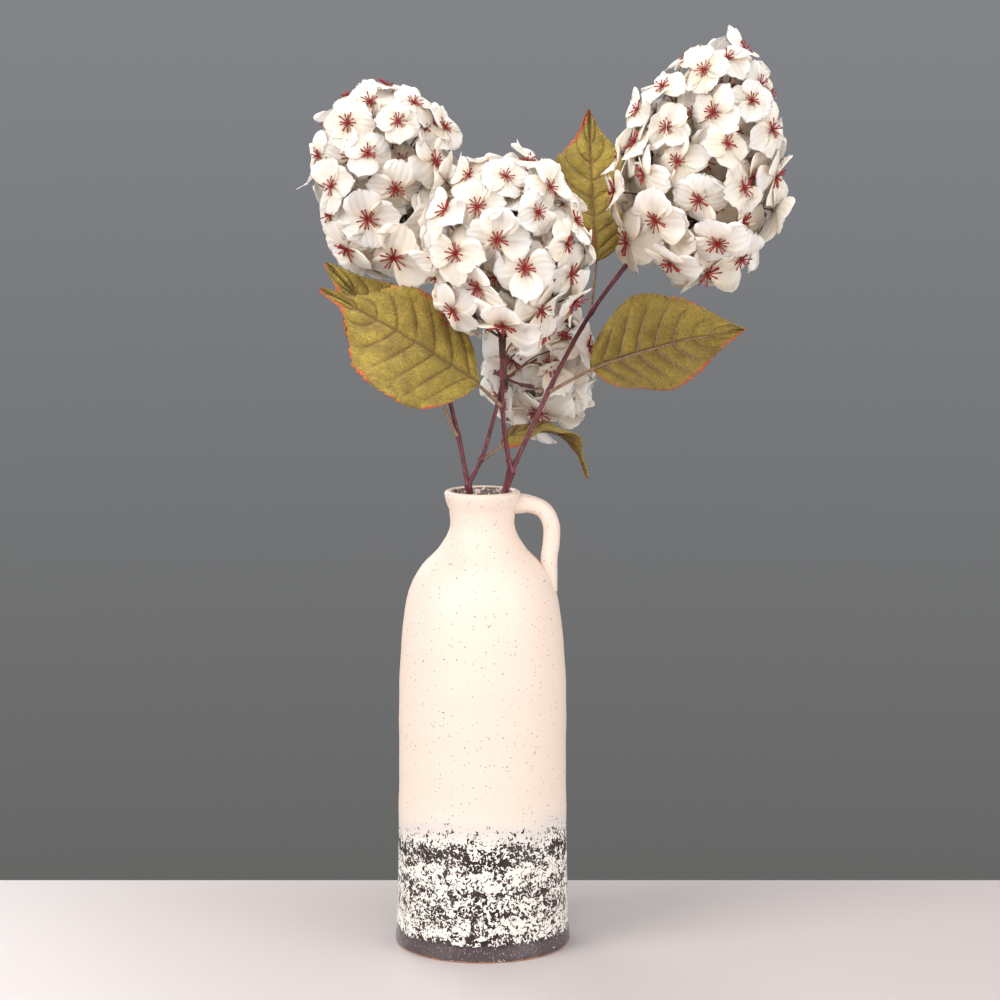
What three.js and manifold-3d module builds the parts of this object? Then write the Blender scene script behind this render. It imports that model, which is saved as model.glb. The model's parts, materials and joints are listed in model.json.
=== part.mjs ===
// Three stems of fabric hydrangeas standing in a one-handled ceramic bottle vase.
// Millimetres, +Z up. The origin is the middle of the vase's flat base, and the handle points along +X.
import * as THREE from "three";
import { LoftGeometry } from "three/addons/geometries/LoftGeometry.js";
import { mergeVertices } from "three/addons/utils/BufferGeometryUtils.js";
import Module from "manifold-3d";

const wasm = await Module();
wasm.setup();

// ---- Driving dimensions ----------------------------------------------------------------------

const VASE_HEIGHT = 301;
const FOOT_RADIUS = 57.8;
const FOOT_ROLL = 2; // how far the foot's lower edge rolls in, and how high
const BASE_RADIUS = 56.8;
const BASE_HEIGHT = 16; // where the foot's flare has died away
const BODY_RADIUS = 53.9; // at the top of the long body
const BODY_DROP = 111; // the top of the body below the rim
const SHOULDER_RADIUS = 48.3;
const SHOULDER_DROP = 67;
const NECK_RADIUS = 21;
const NECK_DROP = 22.5;
const LIP_FLARE = 3.8; // the lip's outer radius beyond the neck's
const LIP_DROP = 2.4; // the widest ring of the lip below the rim
const WALL = 5;
const FLOOR = 8;
const VASE_SIDES = 30;
const OUTSIDE_SAMPLES = 22;
const HOLLOW_SAMPLES = 15;
const LIP_STEPS = 4;
const BODY_BULGE = 0.6; // how much of the body's taper lies below its middle
// Two points of the slope: shares from the neck out to the shoulder, and from the shoulder up.
const SLOPE = [
  [0.71, 0.37],
  [0.25, 0.67],
];

const HANDLE_THICKNESS = 11;
const HANDLE_WIDTH = 16;
const FINGER_GAP = 18.2; // from the neck out to the handle's inner face
const HANDLE_TOP_DROP = 9; // the centre line's top below the rim
const HANDLE_END_DROP = 66; // the centre line's lower end below the rim
const HANDLE_SIDES = 10;
const HANDLE_STEPS = 14;
const HANDLE_STOP_SAMPLES = 24;
// The centre line between the handle's ends: how far inside its full reach, and below its top.
const HANDLE_LINE = [
  [14.95, 0],
  [5, 4],
  [0, 13],
  [-0.2, 26],
  [1, 34.5],
];

const FIT_GAP = 0.3; // clearance kept where one piece is plugged into the next
const STEM_SEAT = 1; // a stem's foot above the vase's floor
const STEM_SIDES = 8;
const MAIN_STEPS = 15;
const STUB_LENGTH = 8; // each arm of a main stem's fork
const STUB_STEPS = 2;
const BRANCH_STEP = 17; // length of one straight run of a branch's tube
const BRANCH_TAPER = 0.9; // a branch's radius at its crown, as a share of its own
const CROWN_RADIUS = 3.5;
const CROWN_SIDES = 8;
const CROWN_RINGS = 6;
const BRANCH_SAMPLES = 60; // points of a branch that the florets keep clear of

const FLORET_TOP_RADIUS = 15.5;
const FLORET_LOW_RADIUS = 20.5;
const FLORET_NOTCH = 0.8; // the edge between two petals, as a share of the floret's radius
const FLORET_CUP = 3.2; // how far the petal tips fall behind the middle
const FLORET_THICKNESS = 1.3;
const FLORET_SIDES = 8; // two for each petal
const PEDICEL_RADIUS = 0.8;
const PEDICEL_SIDES = 3;
const TRUNK_RADIUS = 1.15;
const TRUNK_REACH = 18; // the end of a sprig's trunk, from the middle of the crown
const TRUNK_BARE = 0.1; // the share of a trunk before its first pedicel
const TRUNK_SIDES = 4;
const SPRIGS_ROUND = 5; // side sprigs round each head, besides the one on top
const TOP_SPRIG_ANGLE = 25; // half angle of the top sprig's share, in degrees
const SPRIG_RISE = 0.7; // how far a side sprig leans along the head's axis, per unit outwards
const FLORET_GAP = 0.5; // between neighbouring florets, and from a sprig to its crown
const GOLDEN_ANGLE = Math.PI * (3 - Math.sqrt(5));

const LEAF_THICKNESS = 1.2;
const LEAF_STEPS = 9;
const LEAF_BELLY = 0.84; // under 1 brings the widest place nearer to the base
const LEAF_FULLNESS = 0.82; // under 1 makes the outline rounder
const LEAF_TIP_TAPER = 0.18;
const LEAF_END = 0.03; // the half width left at the base and the tip, as a share of the widest
const LEAF_FOLD = 0.14; // how far each half of a blade rises from the midrib, per unit of width
const LEAF_RIB_GAP = 0.75; // between a blade's underside and the moulded ribs below it
const PETIOLE_RADIUS = 1.3;
const RIB_TIP_RADIUS = 0.8;
const SIDE_RIB_RADIUS = 0.7;
const RIB_SIDES = 5;
const RIB_STEPS = 9;
const RIB_SHARES = [0.04, 0.28, 0.57, 0.86]; // where the midrib is fixed, as shares of the blade
const SIDE_RIB_SHARES = [0.2, 0.38, 0.56]; // where the side ribs leave the midrib
const SIDE_RIB_LEAD = 0.2; // how far along the blade a side rib has run at its end
const SIDE_RIB_SPREAD = 0.66; // a side rib's end, as a share of the half width
const SIDE_RIB_DROP = 0.4; // a side rib's end below the ribs' own gap
const SIDE_RIB_SIDES = 4;

// Main stems. The foot and the two gaps say where each one leans inside the vase.
const MAINS = [
  {
    name: "stem_right_main",
    radius: 2.35,
    footBearing: 189,
    footGap: 11,
    neckBearing: -24,
    neckGap: 1.3,
    mouthGap: 1.6,
    fork: [18.6, -6, 12.5],
  },
  {
    name: "stem_left_main",
    radius: 2,
    footBearing: 10,
    footGap: 18,
    neckBearing: 139,
    neckGap: 5.8,
    mouthGap: 8,
    fork: [-9.4, 5, 2.5],
  },
];

// Branches. Points are from the middle of the vase's mouth, and the last one is the flower's crown.
const BRANCHES = {
  center: { main: 0, radius: 1.6, route: [[15.5, -10, 32], [13, -14, 55], [13, -26, 101]] },
  right: { main: 0, radius: 1.6, route: [[32, -3, 41], [51, 2, 81], [73, 6, 119], [114, 12, 171]] },
  left: { main: 1, radius: 1.5, route: [[-16, 12, 35], [-30, 24, 86], [-51, 36, 142]] },
  lower: { main: 1, radius: 1.5, route: [[0, 12, 21], [8, 20, 47], [15, 28, 70]] },
};

// Flower heads. Each is an egg round its axis; florets sit on it from the top down to its reach.
const HEADS = [
  {
    name: "left",
    middle: [-62, 38, 198],
    axis: [-0.18, 0.03, 0.98],
    across: 49,
    along: 63,
    florets: 30,
    reach: 124,
  },
  {
    name: "center",
    middle: [15, -40, 161],
    axis: [0.03, -0.23, 0.97],
    across: 50.5,
    along: 58,
    florets: 32,
    reach: 124,
  },
  {
    name: "right",
    middle: [142, 15, 210],
    axis: [0.2, 0, 0.97],
    across: 52,
    along: 77,
    florets: 38,
    reach: 132,
  },
  {
    name: "lower",
    middle: [39, 65, 79],
    axis: [0.56, 0.82, 0.08],
    across: 37.5,
    along: 38,
    florets: 22,
    reach: 116,
  },
];

// Leaves. The base is from the middle of the vase's mouth, the heading runs from base to tip,
// the face is the way the upper side looks, the skew is how much wider one half is than the mean,
// and the arch is how far the middle bows towards the face.
const LEAVES = [
  {
    name: "front_left",
    branch: "center",
    along: 0.5,
    base: [-1, -31, 73],
    heading: [-101, -7, 60],
    face: [0.23, -0.82, 0.52],
    length: 118,
    width: 88,
    skew: 0.2,
    arch: 4,
  },
  {
    name: "back_left",
    branch: "left",
    along: 0.22,
    base: [-26, 10, 59],
    heading: [-77, -14, 92],
    face: [0.2, -0.87, 0.45],
    length: 117,
    width: 66,
    skew: 0,
    arch: 4,
  },
  {
    name: "right",
    branch: "right",
    along: 0.31,
    base: [70, -7, 81],
    heading: [98, -13, 26],
    face: [0, 0.9, 0.43],
    length: 103,
    width: 78,
    skew: 0,
    arch: 6,
  },
  {
    name: "tall",
    branch: "right",
    along: 0.62,
    base: [75, 33, 147],
    heading: [-4, 52, 97],
    face: [0.1, -0.86, 0.5],
    length: 111,
    width: 66,
    skew: 0,
    arch: -3,
  },
  {
    name: "low",
    branch: "lower",
    along: 0.26,
    base: [12, 18, 29],
    heading: [58, 19, -26],
    face: [0.38, 0.12, 0.92],
    length: 66,
    width: 44,
    skew: 0,
    arch: 21,
  },
];

// ---- Materials --------------------------------------------------------------------------------

const MATERIALS = {
  glaze: new THREE.MeshStandardMaterial({ color: 0xf6e9d8, roughness: 0.38, metalness: 0 }),
  stem: new THREE.MeshStandardMaterial({ color: 0x7a2e38, roughness: 0.4, metalness: 0 }),
  petal: new THREE.MeshStandardMaterial({ color: 0xf7efe6, roughness: 0.85, metalness: 0 }),
  leaf: new THREE.MeshStandardMaterial({ color: 0xa08530, roughness: 0.8, metalness: 0 }),
  rib: new THREE.MeshStandardMaterial({ color: 0x9a7f62, roughness: 0.5, metalness: 0 }),
};

// ---- Solids -----------------------------------------------------------------------------------

// A closed three.js geometry as a solid that can be joined and cut.
function solidOf(geometry) {
  const bare = new THREE.BufferGeometry();
  bare.setAttribute("position", geometry.getAttribute("position"));
  bare.setIndex(geometry.index);
  const merged = mergeVertices(bare, 1e-4);
  return new wasm.Manifold(
    new wasm.Mesh({
      numProp: 3,
      vertProperties: new Float32Array(merged.attributes.position.array),
      triVerts: new Uint32Array(merged.index.array),
    }),
  );
}

// A solid back as a three.js geometry.
function geometryOf(solid) {
  const mesh = solid.getMesh();
  const geometry = new THREE.BufferGeometry();
  geometry.setAttribute("position", new THREE.BufferAttribute(new Float32Array(mesh.vertProperties), 3));
  geometry.setIndex(new THREE.BufferAttribute(new Uint32Array(mesh.triVerts), 1));
  geometry.computeVertexNormals();
  return geometry;
}

// Everything in the list joined into one solid.
function joined(solids) {
  return solids.reduce((whole, next) => whole.add(next));
}

// A turned solid about +Z from a profile of [radius, height] that starts and ends on the axis.
function turned(profile, sides) {
  const points = profile.map(([radius, height]) => new THREE.Vector2(radius, height));
  return new THREE.LatheGeometry(points, sides).rotateX(Math.PI / 2);
}

// A closed tube along a curve between two arc lengths, with a radius that changes evenly.
function tube(curve, from, to, startRadius, endRadius, sides, steps) {
  const length = curve.getLength();
  const side = new THREE.Vector3();
  const sections = [];
  let across = null;
  for (let step = 0; step <= steps; step++) {
    const share = step / steps;
    const at = THREE.MathUtils.clamp((from + (to - from) * share) / length, 0, 1);
    const tangent = curve.getTangentAt(at);
    if (!across) across = perpendicularTo(tangent);
    across.addScaledVector(tangent, -across.dot(tangent)).normalize();
    side.crossVectors(tangent, across);
    const radius = THREE.MathUtils.lerp(startRadius, endRadius, share);
    sections.push(ring(curve.getPointAt(at), across, side, radius, radius, sides));
  }
  return new LoftGeometry(sections, { capStart: true, capEnd: true });
}

// Points round an ellipse, anticlockwise seen from the end of the loft.
function ring(middle, across, side, acrossRadius, sideRadius, sides) {
  const points = [];
  for (let corner = 0; corner < sides; corner++) {
    const angle = (2 * Math.PI * corner) / sides;
    points.push(
      middle
        .clone()
        .addScaledVector(across, acrossRadius * Math.cos(angle))
        .addScaledVector(side, sideRadius * Math.sin(angle)),
    );
  }
  return points;
}

function perpendicularTo(direction) {
  const helper = Math.abs(direction.z) < 0.9 ? new THREE.Vector3(0, 0, 1) : new THREE.Vector3(1, 0, 0);
  return helper.cross(direction).normalize();
}

function straight(start, end) {
  return new THREE.LineCurve3(start, end);
}

// A point measured from the middle of the vase's mouth.
function fromMouth([x, y, z]) {
  return new THREE.Vector3(x, y, VASE_HEIGHT + z);
}

function polar(radius, bearing, z) {
  const angle = THREE.MathUtils.degToRad(bearing);
  return new THREE.Vector3(radius * Math.cos(angle), radius * Math.sin(angle), z);
}

// ---- Vase -------------------------------------------------------------------------------------

const NECK_Z = VASE_HEIGHT - NECK_DROP;
const LIP_Z = VASE_HEIGHT - LIP_DROP;
const SHOULDER_Z = VASE_HEIGHT - SHOULDER_DROP;
const LIP_RADIUS = NECK_RADIUS + LIP_FLARE;
const MOUTH_RADIUS = LIP_RADIUS - WALL;

// The outside of the wall from the foot's flare up to the widest ring of the lip.
function outsideCurve() {
  const slope = SLOPE.map(([outwards, up]) => [
    THREE.MathUtils.lerp(NECK_RADIUS, SHOULDER_RADIUS, outwards),
    THREE.MathUtils.lerp(SHOULDER_Z, NECK_Z, up),
  ]);
  const bodyZ = VASE_HEIGHT - BODY_DROP;
  const points = [
    [FOOT_RADIUS, FOOT_ROLL],
    [BASE_RADIUS, BASE_HEIGHT],
    [THREE.MathUtils.lerp(BASE_RADIUS, BODY_RADIUS, BODY_BULGE), (BASE_HEIGHT + bodyZ) / 2],
    [BODY_RADIUS, bodyZ],
    [SHOULDER_RADIUS, SHOULDER_Z],
    ...slope,
    [NECK_RADIUS, NECK_Z],
    [LIP_RADIUS, LIP_Z],
  ];
  return new THREE.CatmullRomCurve3(points.map(([radius, z]) => new THREE.Vector3(radius, 0, z)));
}

// Samples of the outside moved into the wall by an inset, as [radius, height].
function insetProfile(inset, samples) {
  const curve = outsideCurve();
  const profile = [];
  for (let sample = 0; sample <= samples; sample++) {
    const at = sample / samples;
    const point = curve.getPointAt(at);
    const tangent = curve.getTangentAt(at);
    profile.push([point.x - inset * tangent.z, point.z + inset * tangent.x]);
  }
  return profile;
}

// The rounded top of the lip, from the outside over to the mouth.
function lipArc() {
  const arc = [];
  for (let step = 1; step < LIP_STEPS; step++) {
    const angle = (Math.PI * step) / LIP_STEPS;
    arc.push([LIP_RADIUS - (WALL / 2) * (1 - Math.cos(angle)), LIP_Z + LIP_DROP * Math.sin(angle)]);
  }
  return arc;
}

function vaseWall() {
  const outside = insetProfile(0, OUTSIDE_SAMPLES);
  const cavity = insetProfile(WALL, HOLLOW_SAMPLES).filter(([, z]) => z > FLOOR + WALL && z < LIP_Z - 1);
  const floorRadius = cavity[0][0];
  return [
    [0, 0],
    [FOOT_RADIUS - FOOT_ROLL, 0],
    ...outside,
    ...lipArc(),
    [MOUTH_RADIUS, LIP_Z],
    ...cavity.reverse(),
    [floorRadius - WALL / 2, FLOOR],
    [0, FLOOR],
  ];
}

// The radius of the hollow at a height, read from a fine sampling of its wall.
function hollowRadius(z) {
  const profile = insetProfile(WALL, 8 * HOLLOW_SAMPLES);
  const above = profile.findIndex(([, height]) => height > z);
  const [lowRadius, lowZ] = profile[above - 1];
  const [highRadius, highZ] = profile[above];
  return THREE.MathUtils.mapLinear(z, lowZ, highZ, lowRadius, highRadius);
}

// A flat strap with round edges from the lip, out and down to the shoulder.
function handleBar() {
  const reach = NECK_RADIUS + FINGER_GAP + HANDLE_THICKNESS / 2;
  const top = VASE_HEIGHT - HANDLE_TOP_DROP;
  const end = VASE_HEIGHT - HANDLE_END_DROP;
  const points = [
    [LIP_RADIUS - WALL, top],
    ...HANDLE_LINE.map(([inside, below]) => [reach - inside, top - below]),
    [SHOULDER_RADIUS - WALL, end],
  ];
  const curve = new THREE.CatmullRomCurve3(points.map(([x, z]) => new THREE.Vector3(x, 0, z)));
  const width = new THREE.Vector3(0, 1, 0);
  const sections = [];
  for (let step = 0; step <= HANDLE_STEPS; step++) {
    const tangent = curve.getTangentAt(step / HANDLE_STEPS);
    const outward = new THREE.Vector3().crossVectors(width, tangent);
    const middle = curve.getPointAt(step / HANDLE_STEPS);
    sections.push(ring(middle, outward, width, HANDLE_THICKNESS / 2, HANDLE_WIDTH / 2, HANDLE_SIDES));
  }
  return new LoftGeometry(sections, { capStart: true, capEnd: true });
}

// The solid that fills the vase to the middle of its wall, which stops the handle's ends there.
function handleStop() {
  const profile = insetProfile(WALL / 2, HANDLE_STOP_SAMPLES).filter(([, z]) => z > WALL);
  const bottomZ = profile[0][1];
  const topRadius = profile[profile.length - 1][0];
  const topZ = VASE_HEIGHT + WALL;
  return turned([[0, bottomZ], ...profile, [topRadius, topZ], [0, topZ]], VASE_SIDES);
}

function vase() {
  const handle = solidOf(handleBar()).subtract(solidOf(handleStop()));
  return solidOf(turned(vaseWall(), VASE_SIDES)).add(handle);
}

// ---- Stems ------------------------------------------------------------------------------------

// A main stem's centre line: its foot, the neck, the mouth and the fork.
function mainCurve(main) {
  const footZ = FLOOR + STEM_SEAT;
  const floorRadius = hollowRadius(FLOOR + 2 * WALL);
  return new THREE.CatmullRomCurve3([
    polar(floorRadius - main.footGap - main.radius, main.footBearing, footZ),
    polar(hollowRadius(NECK_Z) - main.neckGap - main.radius, main.neckBearing, NECK_Z),
    polar(MOUTH_RADIUS - main.mouthGap - main.radius, bearingOf(main.fork), VASE_HEIGHT),
    fromMouth(main.fork),
  ]);
}

function bearingOf([x, y]) {
  return THREE.MathUtils.radToDeg(Math.atan2(y, x));
}

function branchCurve(branch) {
  const start = fromMouth(MAINS[branch.main].fork);
  return new THREE.CatmullRomCurve3([start, ...branch.route.map(fromMouth)]);
}

// A main stem with the two short arms of its fork.
function mainStem(main, index) {
  const curve = mainCurve(main);
  const trunk = tube(curve, 0, curve.getLength(), main.radius, main.radius, STEM_SIDES, MAIN_STEPS);
  const arms = Object.values(BRANCHES)
    .filter((branch) => branch.main === index)
    .map((branch) => {
      const { radius } = branch;
      return tube(branchCurve(branch), 0, STUB_LENGTH, radius, radius, STEM_SIDES, STUB_STEPS);
    });
  return joined([trunk, ...arms].map(solidOf));
}

// A branch from its fork's arm up to the crown.
function branchStem(branch) {
  const curve = branchCurve(branch);
  const start = STUB_LENGTH + FIT_GAP;
  const end = curve.getLength() - CROWN_RADIUS - FIT_GAP;
  const steps = Math.round((end - STUB_LENGTH) / BRANCH_STEP) + 2;
  return tube(curve, start, end, branch.radius, branch.radius * BRANCH_TAPER, STEM_SIDES, steps);
}

// ---- Leaves -----------------------------------------------------------------------------------

// The half width of a blade along its length, as a share of the widest half.
function bladeShare(t) {
  const belly = Math.pow(Math.sin(Math.PI * Math.pow(t, LEAF_BELLY)), LEAF_FULLNESS);
  return Math.max(belly * (1 - LEAF_TIP_TAPER * t), LEAF_END);
}

// A leaf's midrib curve with the vectors across it, and a function for any point of its upper side.
function leafShape(leaf) {
  const base = fromMouth(leaf.base);
  const heading = new THREE.Vector3(...leaf.heading).normalize();
  const across = new THREE.Vector3(...leaf.face).cross(heading).normalize();
  const face = new THREE.Vector3().crossVectors(heading, across);
  const tip = base.clone().addScaledVector(heading, leaf.length);
  const control = base.clone().lerp(tip, 0.5).addScaledVector(face, 2 * leaf.arch);
  const midrib = new THREE.QuadraticBezierCurve3(base, control, tip);
  const surface = (t, s, depth) => {
    const normal = new THREE.Vector3().crossVectors(midrib.getTangent(t), across);
    const reach = s * (1 + leaf.skew * s) * bladeShare(t) * (leaf.width / 2);
    return midrib
      .getPoint(t)
      .addScaledVector(across, reach)
      .addScaledVector(normal, Math.abs(reach) * LEAF_FOLD - depth);
  };
  return { midrib, surface };
}

// A thin folded blade with a pointed outline.
function blade(leaf) {
  const { surface } = leafShape(leaf);
  const sections = [];
  for (let step = 0; step <= LEAF_STEPS; step++) {
    const t = step / LEAF_STEPS;
    sections.push([
      surface(t, -1, 0),
      surface(t, -1, LEAF_THICKNESS),
      surface(t, 0, LEAF_THICKNESS),
      surface(t, 1, LEAF_THICKNESS),
      surface(t, 1, 0),
      surface(t, 0, 0),
    ]);
  }
  return new LoftGeometry(sections, { capStart: true, capEnd: true });
}

// The moulded stalk, which leaves the branch, runs under the blade and carries the side ribs.
function leafRib(leaf) {
  const branch = BRANCHES[leaf.branch];
  const curve = branchCurve(branch);
  const { surface } = leafShape(leaf);
  const depth = LEAF_THICKNESS + LEAF_RIB_GAP + PETIOLE_RADIUS;
  const endDepth = LEAF_THICKNESS + LEAF_RIB_GAP + SIDE_RIB_RADIUS + SIDE_RIB_DROP;
  const under = RIB_SHARES.map((t) => surface(t, 0, depth));
  const node = curve.getPointAt(leaf.along);
  const leaving = under[0].clone().sub(node);
  const tangent = curve.getTangentAt(leaf.along);
  leaving.addScaledVector(tangent, -leaving.dot(tangent)).normalize();
  node.addScaledVector(leaving, branch.radius + FIT_GAP + PETIOLE_RADIUS);
  const stalk = new THREE.CatmullRomCurve3([node, ...under]);
  const parts = [tube(stalk, 0, stalk.getLength(), PETIOLE_RADIUS, RIB_TIP_RADIUS, RIB_SIDES, RIB_STEPS)];
  for (const t of SIDE_RIB_SHARES) {
    for (const hand of [-1, 1]) {
      const start = surface(t, 0, depth);
      const end = surface(t + SIDE_RIB_LEAD, hand * SIDE_RIB_SPREAD, endDepth);
      const rib = straight(start, end);
      parts.push(tube(rib, 0, rib.getLength(), SIDE_RIB_RADIUS, SIDE_RIB_RADIUS, SIDE_RIB_SIDES, 1));
    }
  }
  return joined(parts.map(solidOf));
}

// ---- Flowers ----------------------------------------------------------------------------------

// How far a floret may reach in one direction before it would meet a neighbour.
function floretReach(place, places, direction) {
  let reach = Infinity;
  for (const other of places) {
    if (other === place) continue;
    const apart = place.point.clone().sub(other.point);
    const half = apart.length() / 2;
    const away = apart.normalize();
    const closing = -away.dot(direction);
    if (closing <= 0) continue;
    const drop = (FLORET_CUP + FLORET_THICKNESS) * Math.max(away.dot(place.normal), 0);
    reach = Math.min(reach, (half - FLORET_GAP / 2 - drop) / closing);
  }
  return reach;
}

// A four-petalled floret as a shallow cup at its place, short of its neighbours.
function floretPlate(place, places) {
  const stand = new THREE.Quaternion().setFromUnitVectors(new THREE.Vector3(0, 0, 1), place.normal);
  const plate = turned([[0, -FLORET_THICKNESS], [1, -FLORET_THICKNESS], [1, 0], [0, 0]], FLORET_SIDES);
  plate.rotateZ(place.spin);
  const position = plate.getAttribute("position");
  for (let corner = 0; corner < position.count; corner++) {
    const outward = new THREE.Vector3(position.getX(corner), position.getY(corner), 0);
    if (outward.length() < 0.5) continue;
    const petal = Math.abs(Math.cos(2 * (Math.atan2(outward.y, outward.x) - place.spin)));
    const open = place.radius * THREE.MathUtils.lerp(FLORET_NOTCH, 1, petal);
    const reach = Math.min(open, floretReach(place, places, outward.clone().applyQuaternion(stand)));
    const fall = FLORET_CUP * Math.pow(reach / place.radius, 2);
    position.setXYZ(corner, outward.x * reach, outward.y * reach, position.getZ(corner) - fall);
  }
  return plate.applyQuaternion(stand).translate(place.point.x, place.point.y, place.point.z);
}

// Where each floret of a head sits, on a golden-angle spiral from the top of the egg.
function floretPlaces(head) {
  const axis = new THREE.Vector3(...head.axis).normalize();
  const turn = new THREE.Quaternion().setFromUnitVectors(new THREE.Vector3(0, 0, 1), axis);
  const middle = fromMouth(head.middle);
  const lowest = Math.cos(THREE.MathUtils.degToRad(head.reach));
  const places = [];
  for (let count = 0; count < head.florets; count++) {
    const share = (count + 0.5) / head.florets;
    const height = 1 - share * (1 - lowest);
    const around = count * GOLDEN_ANGLE;
    const rim = Math.sqrt(1 - height * height);
    const unit = new THREE.Vector3(rim * Math.cos(around), rim * Math.sin(around), height);
    const size = new THREE.Vector3(head.across, head.across, head.along);
    places.push({
      point: unit.clone().multiply(size).applyQuaternion(turn).add(middle),
      normal: unit.clone().divide(size).applyQuaternion(turn).normalize(),
      radius: THREE.MathUtils.lerp(FLORET_TOP_RADIUS, FLORET_LOW_RADIUS, share),
      spin: around,
    });
  }
  return places;
}

// A floret on its pedicel from the sprig's fork.
function placedFloret(place, places, fork) {
  const socket = place.point.clone().addScaledVector(place.normal, -FLORET_THICKNESS / 2);
  const pedicel = straight(fork, socket);
  const wire = tube(pedicel, 0, pedicel.getLength(), PEDICEL_RADIUS, PEDICEL_RADIUS, PEDICEL_SIDES, 1);
  return solidOf(floretPlate(place, places)).add(solidOf(wire));
}

// The planes that share a head's florets out among its sprigs.
function sprigPlanes(head, crown) {
  const axis = fromMouth(head.middle).sub(crown).normalize();
  const first = perpendicularTo(axis);
  const second = new THREE.Vector3().crossVectors(axis, first);
  const radial = (angle) =>
    first.clone().multiplyScalar(Math.cos(angle)).addScaledVector(second, Math.sin(angle));
  const step = (2 * Math.PI) / SPRIGS_ROUND;
  const tilt = THREE.MathUtils.degToRad(TOP_SPRIG_ANGLE);
  const sectors = [];
  for (let sector = 0; sector < SPRIGS_ROUND; sector++) {
    const angle = sector * step;
    sectors.push({
      outward: radial(angle),
      top: radial(angle).multiplyScalar(Math.cos(tilt)).addScaledVector(axis, -Math.sin(tilt)),
      left: radial(angle - step / 2 + Math.PI / 2),
      right: radial(angle + step / 2 - Math.PI / 2),
    });
  }
  return { axis, sectors };
}

// The planes, as inward normals through the crown, that bound the top sprig and each side sprig.
function sprigShares(head, crown) {
  const { axis, sectors } = sprigPlanes(head, crown);
  const top = { way: axis, planes: sectors.map((sector) => sector.top.clone().negate()) };
  const sides = sectors.map((sector) => ({
    way: sector.outward.clone().addScaledVector(axis, SPRIG_RISE).normalize(),
    planes: [sector.top, sector.left, sector.right],
  }));
  return [top, ...sides];
}

// One sprig: a short wire trunk off the crown, with the pedicels and florets of its share.
function sprig(share, places, crown) {
  const own = places.filter((place) => {
    const offset = place.point.clone().sub(crown);
    return share.planes.every((plane) => plane.dot(offset) > 0);
  });
  const lean = (place) => place.point.clone().sub(crown).normalize().dot(share.way);
  own.sort((one, next) => lean(one) - lean(next));
  const start = crown.clone().addScaledVector(share.way, CROWN_RADIUS + FLORET_GAP);
  const wire = straight(start, crown.clone().addScaledVector(share.way, TRUNK_REACH));
  const trunk = tube(wire, 0, wire.getLength(), TRUNK_RADIUS, TRUNK_RADIUS, TRUNK_SIDES, 1);
  const florets = own.map((place, order) => {
    const leaves = THREE.MathUtils.lerp(TRUNK_BARE, 1, (order + 1) / (own.length + 1));
    return placedFloret(place, places, wire.getPoint(leaves));
  });
  return joined([solidOf(trunk), ...florets]);
}

// Florets that would stand where the branch comes into the head are left out.
function clearOfBranch(places, branch) {
  const points = branchCurve(branch).getSpacedPoints(BRANCH_SAMPLES);
  return places.filter((place) => {
    const nearest = Math.min(...points.map((point) => point.distanceTo(place.point)));
    return nearest > place.radius + branch.radius + FLORET_GAP;
  });
}

// ---- Assembly ---------------------------------------------------------------------------------

const bouquet = new THREE.Group();

function addPiece(parent, name, geometry, material) {
  const mesh = new THREE.Mesh(geometry, MATERIALS[material]);
  mesh.name = name;
  parent.add(mesh);
}

function addStems(parent) {
  MAINS.forEach((main, index) => {
    addPiece(parent, main.name, geometryOf(mainStem(main, index)), "stem");
  });
  for (const [name, branch] of Object.entries(BRANCHES)) {
    addPiece(parent, `branch_${name}`, branchStem(branch), "stem");
  }
}

function addLeaves(parent) {
  for (const leaf of LEAVES) {
    addPiece(parent, `leaf_${leaf.name}_blade`, blade(leaf), "leaf");
    addPiece(parent, `leaf_${leaf.name}_rib`, geometryOf(leafRib(leaf)), "rib");
  }
}

function addHead(parent, head) {
  const branch = BRANCHES[head.name];
  const crown = fromMouth(branch.route[branch.route.length - 1]);
  const knob = new THREE.SphereGeometry(CROWN_RADIUS, CROWN_SIDES, CROWN_RINGS);
  knob.translate(crown.x, crown.y, crown.z);
  addPiece(parent, `crown_${head.name}`, knob, "stem");
  const places = clearOfBranch(floretPlaces(head), branch);
  sprigShares(head, crown).forEach((share, index) => {
    const name = index === 0 ? "top" : `side_${index}`;
    addPiece(parent, `sprig_${head.name}_${name}`, geometryOf(sprig(share, places, crown)), "petal");
  });
}

addPiece(bouquet, "vase", geometryOf(vase()), "glaze");
addStems(bouquet);
addLeaves(bouquet);
HEADS.forEach((head) => addHead(bouquet, head));

export default bouquet;
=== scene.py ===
"""Fabric hydrangeas in a one-handled stoneware bottle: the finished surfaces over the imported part."""

import json
import logging
import math
import random
from collections.abc import Callable, Sequence
from dataclasses import dataclass
from enum import Enum
from functools import partial

import bpy
from mathutils import Matrix, Vector, noise

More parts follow.
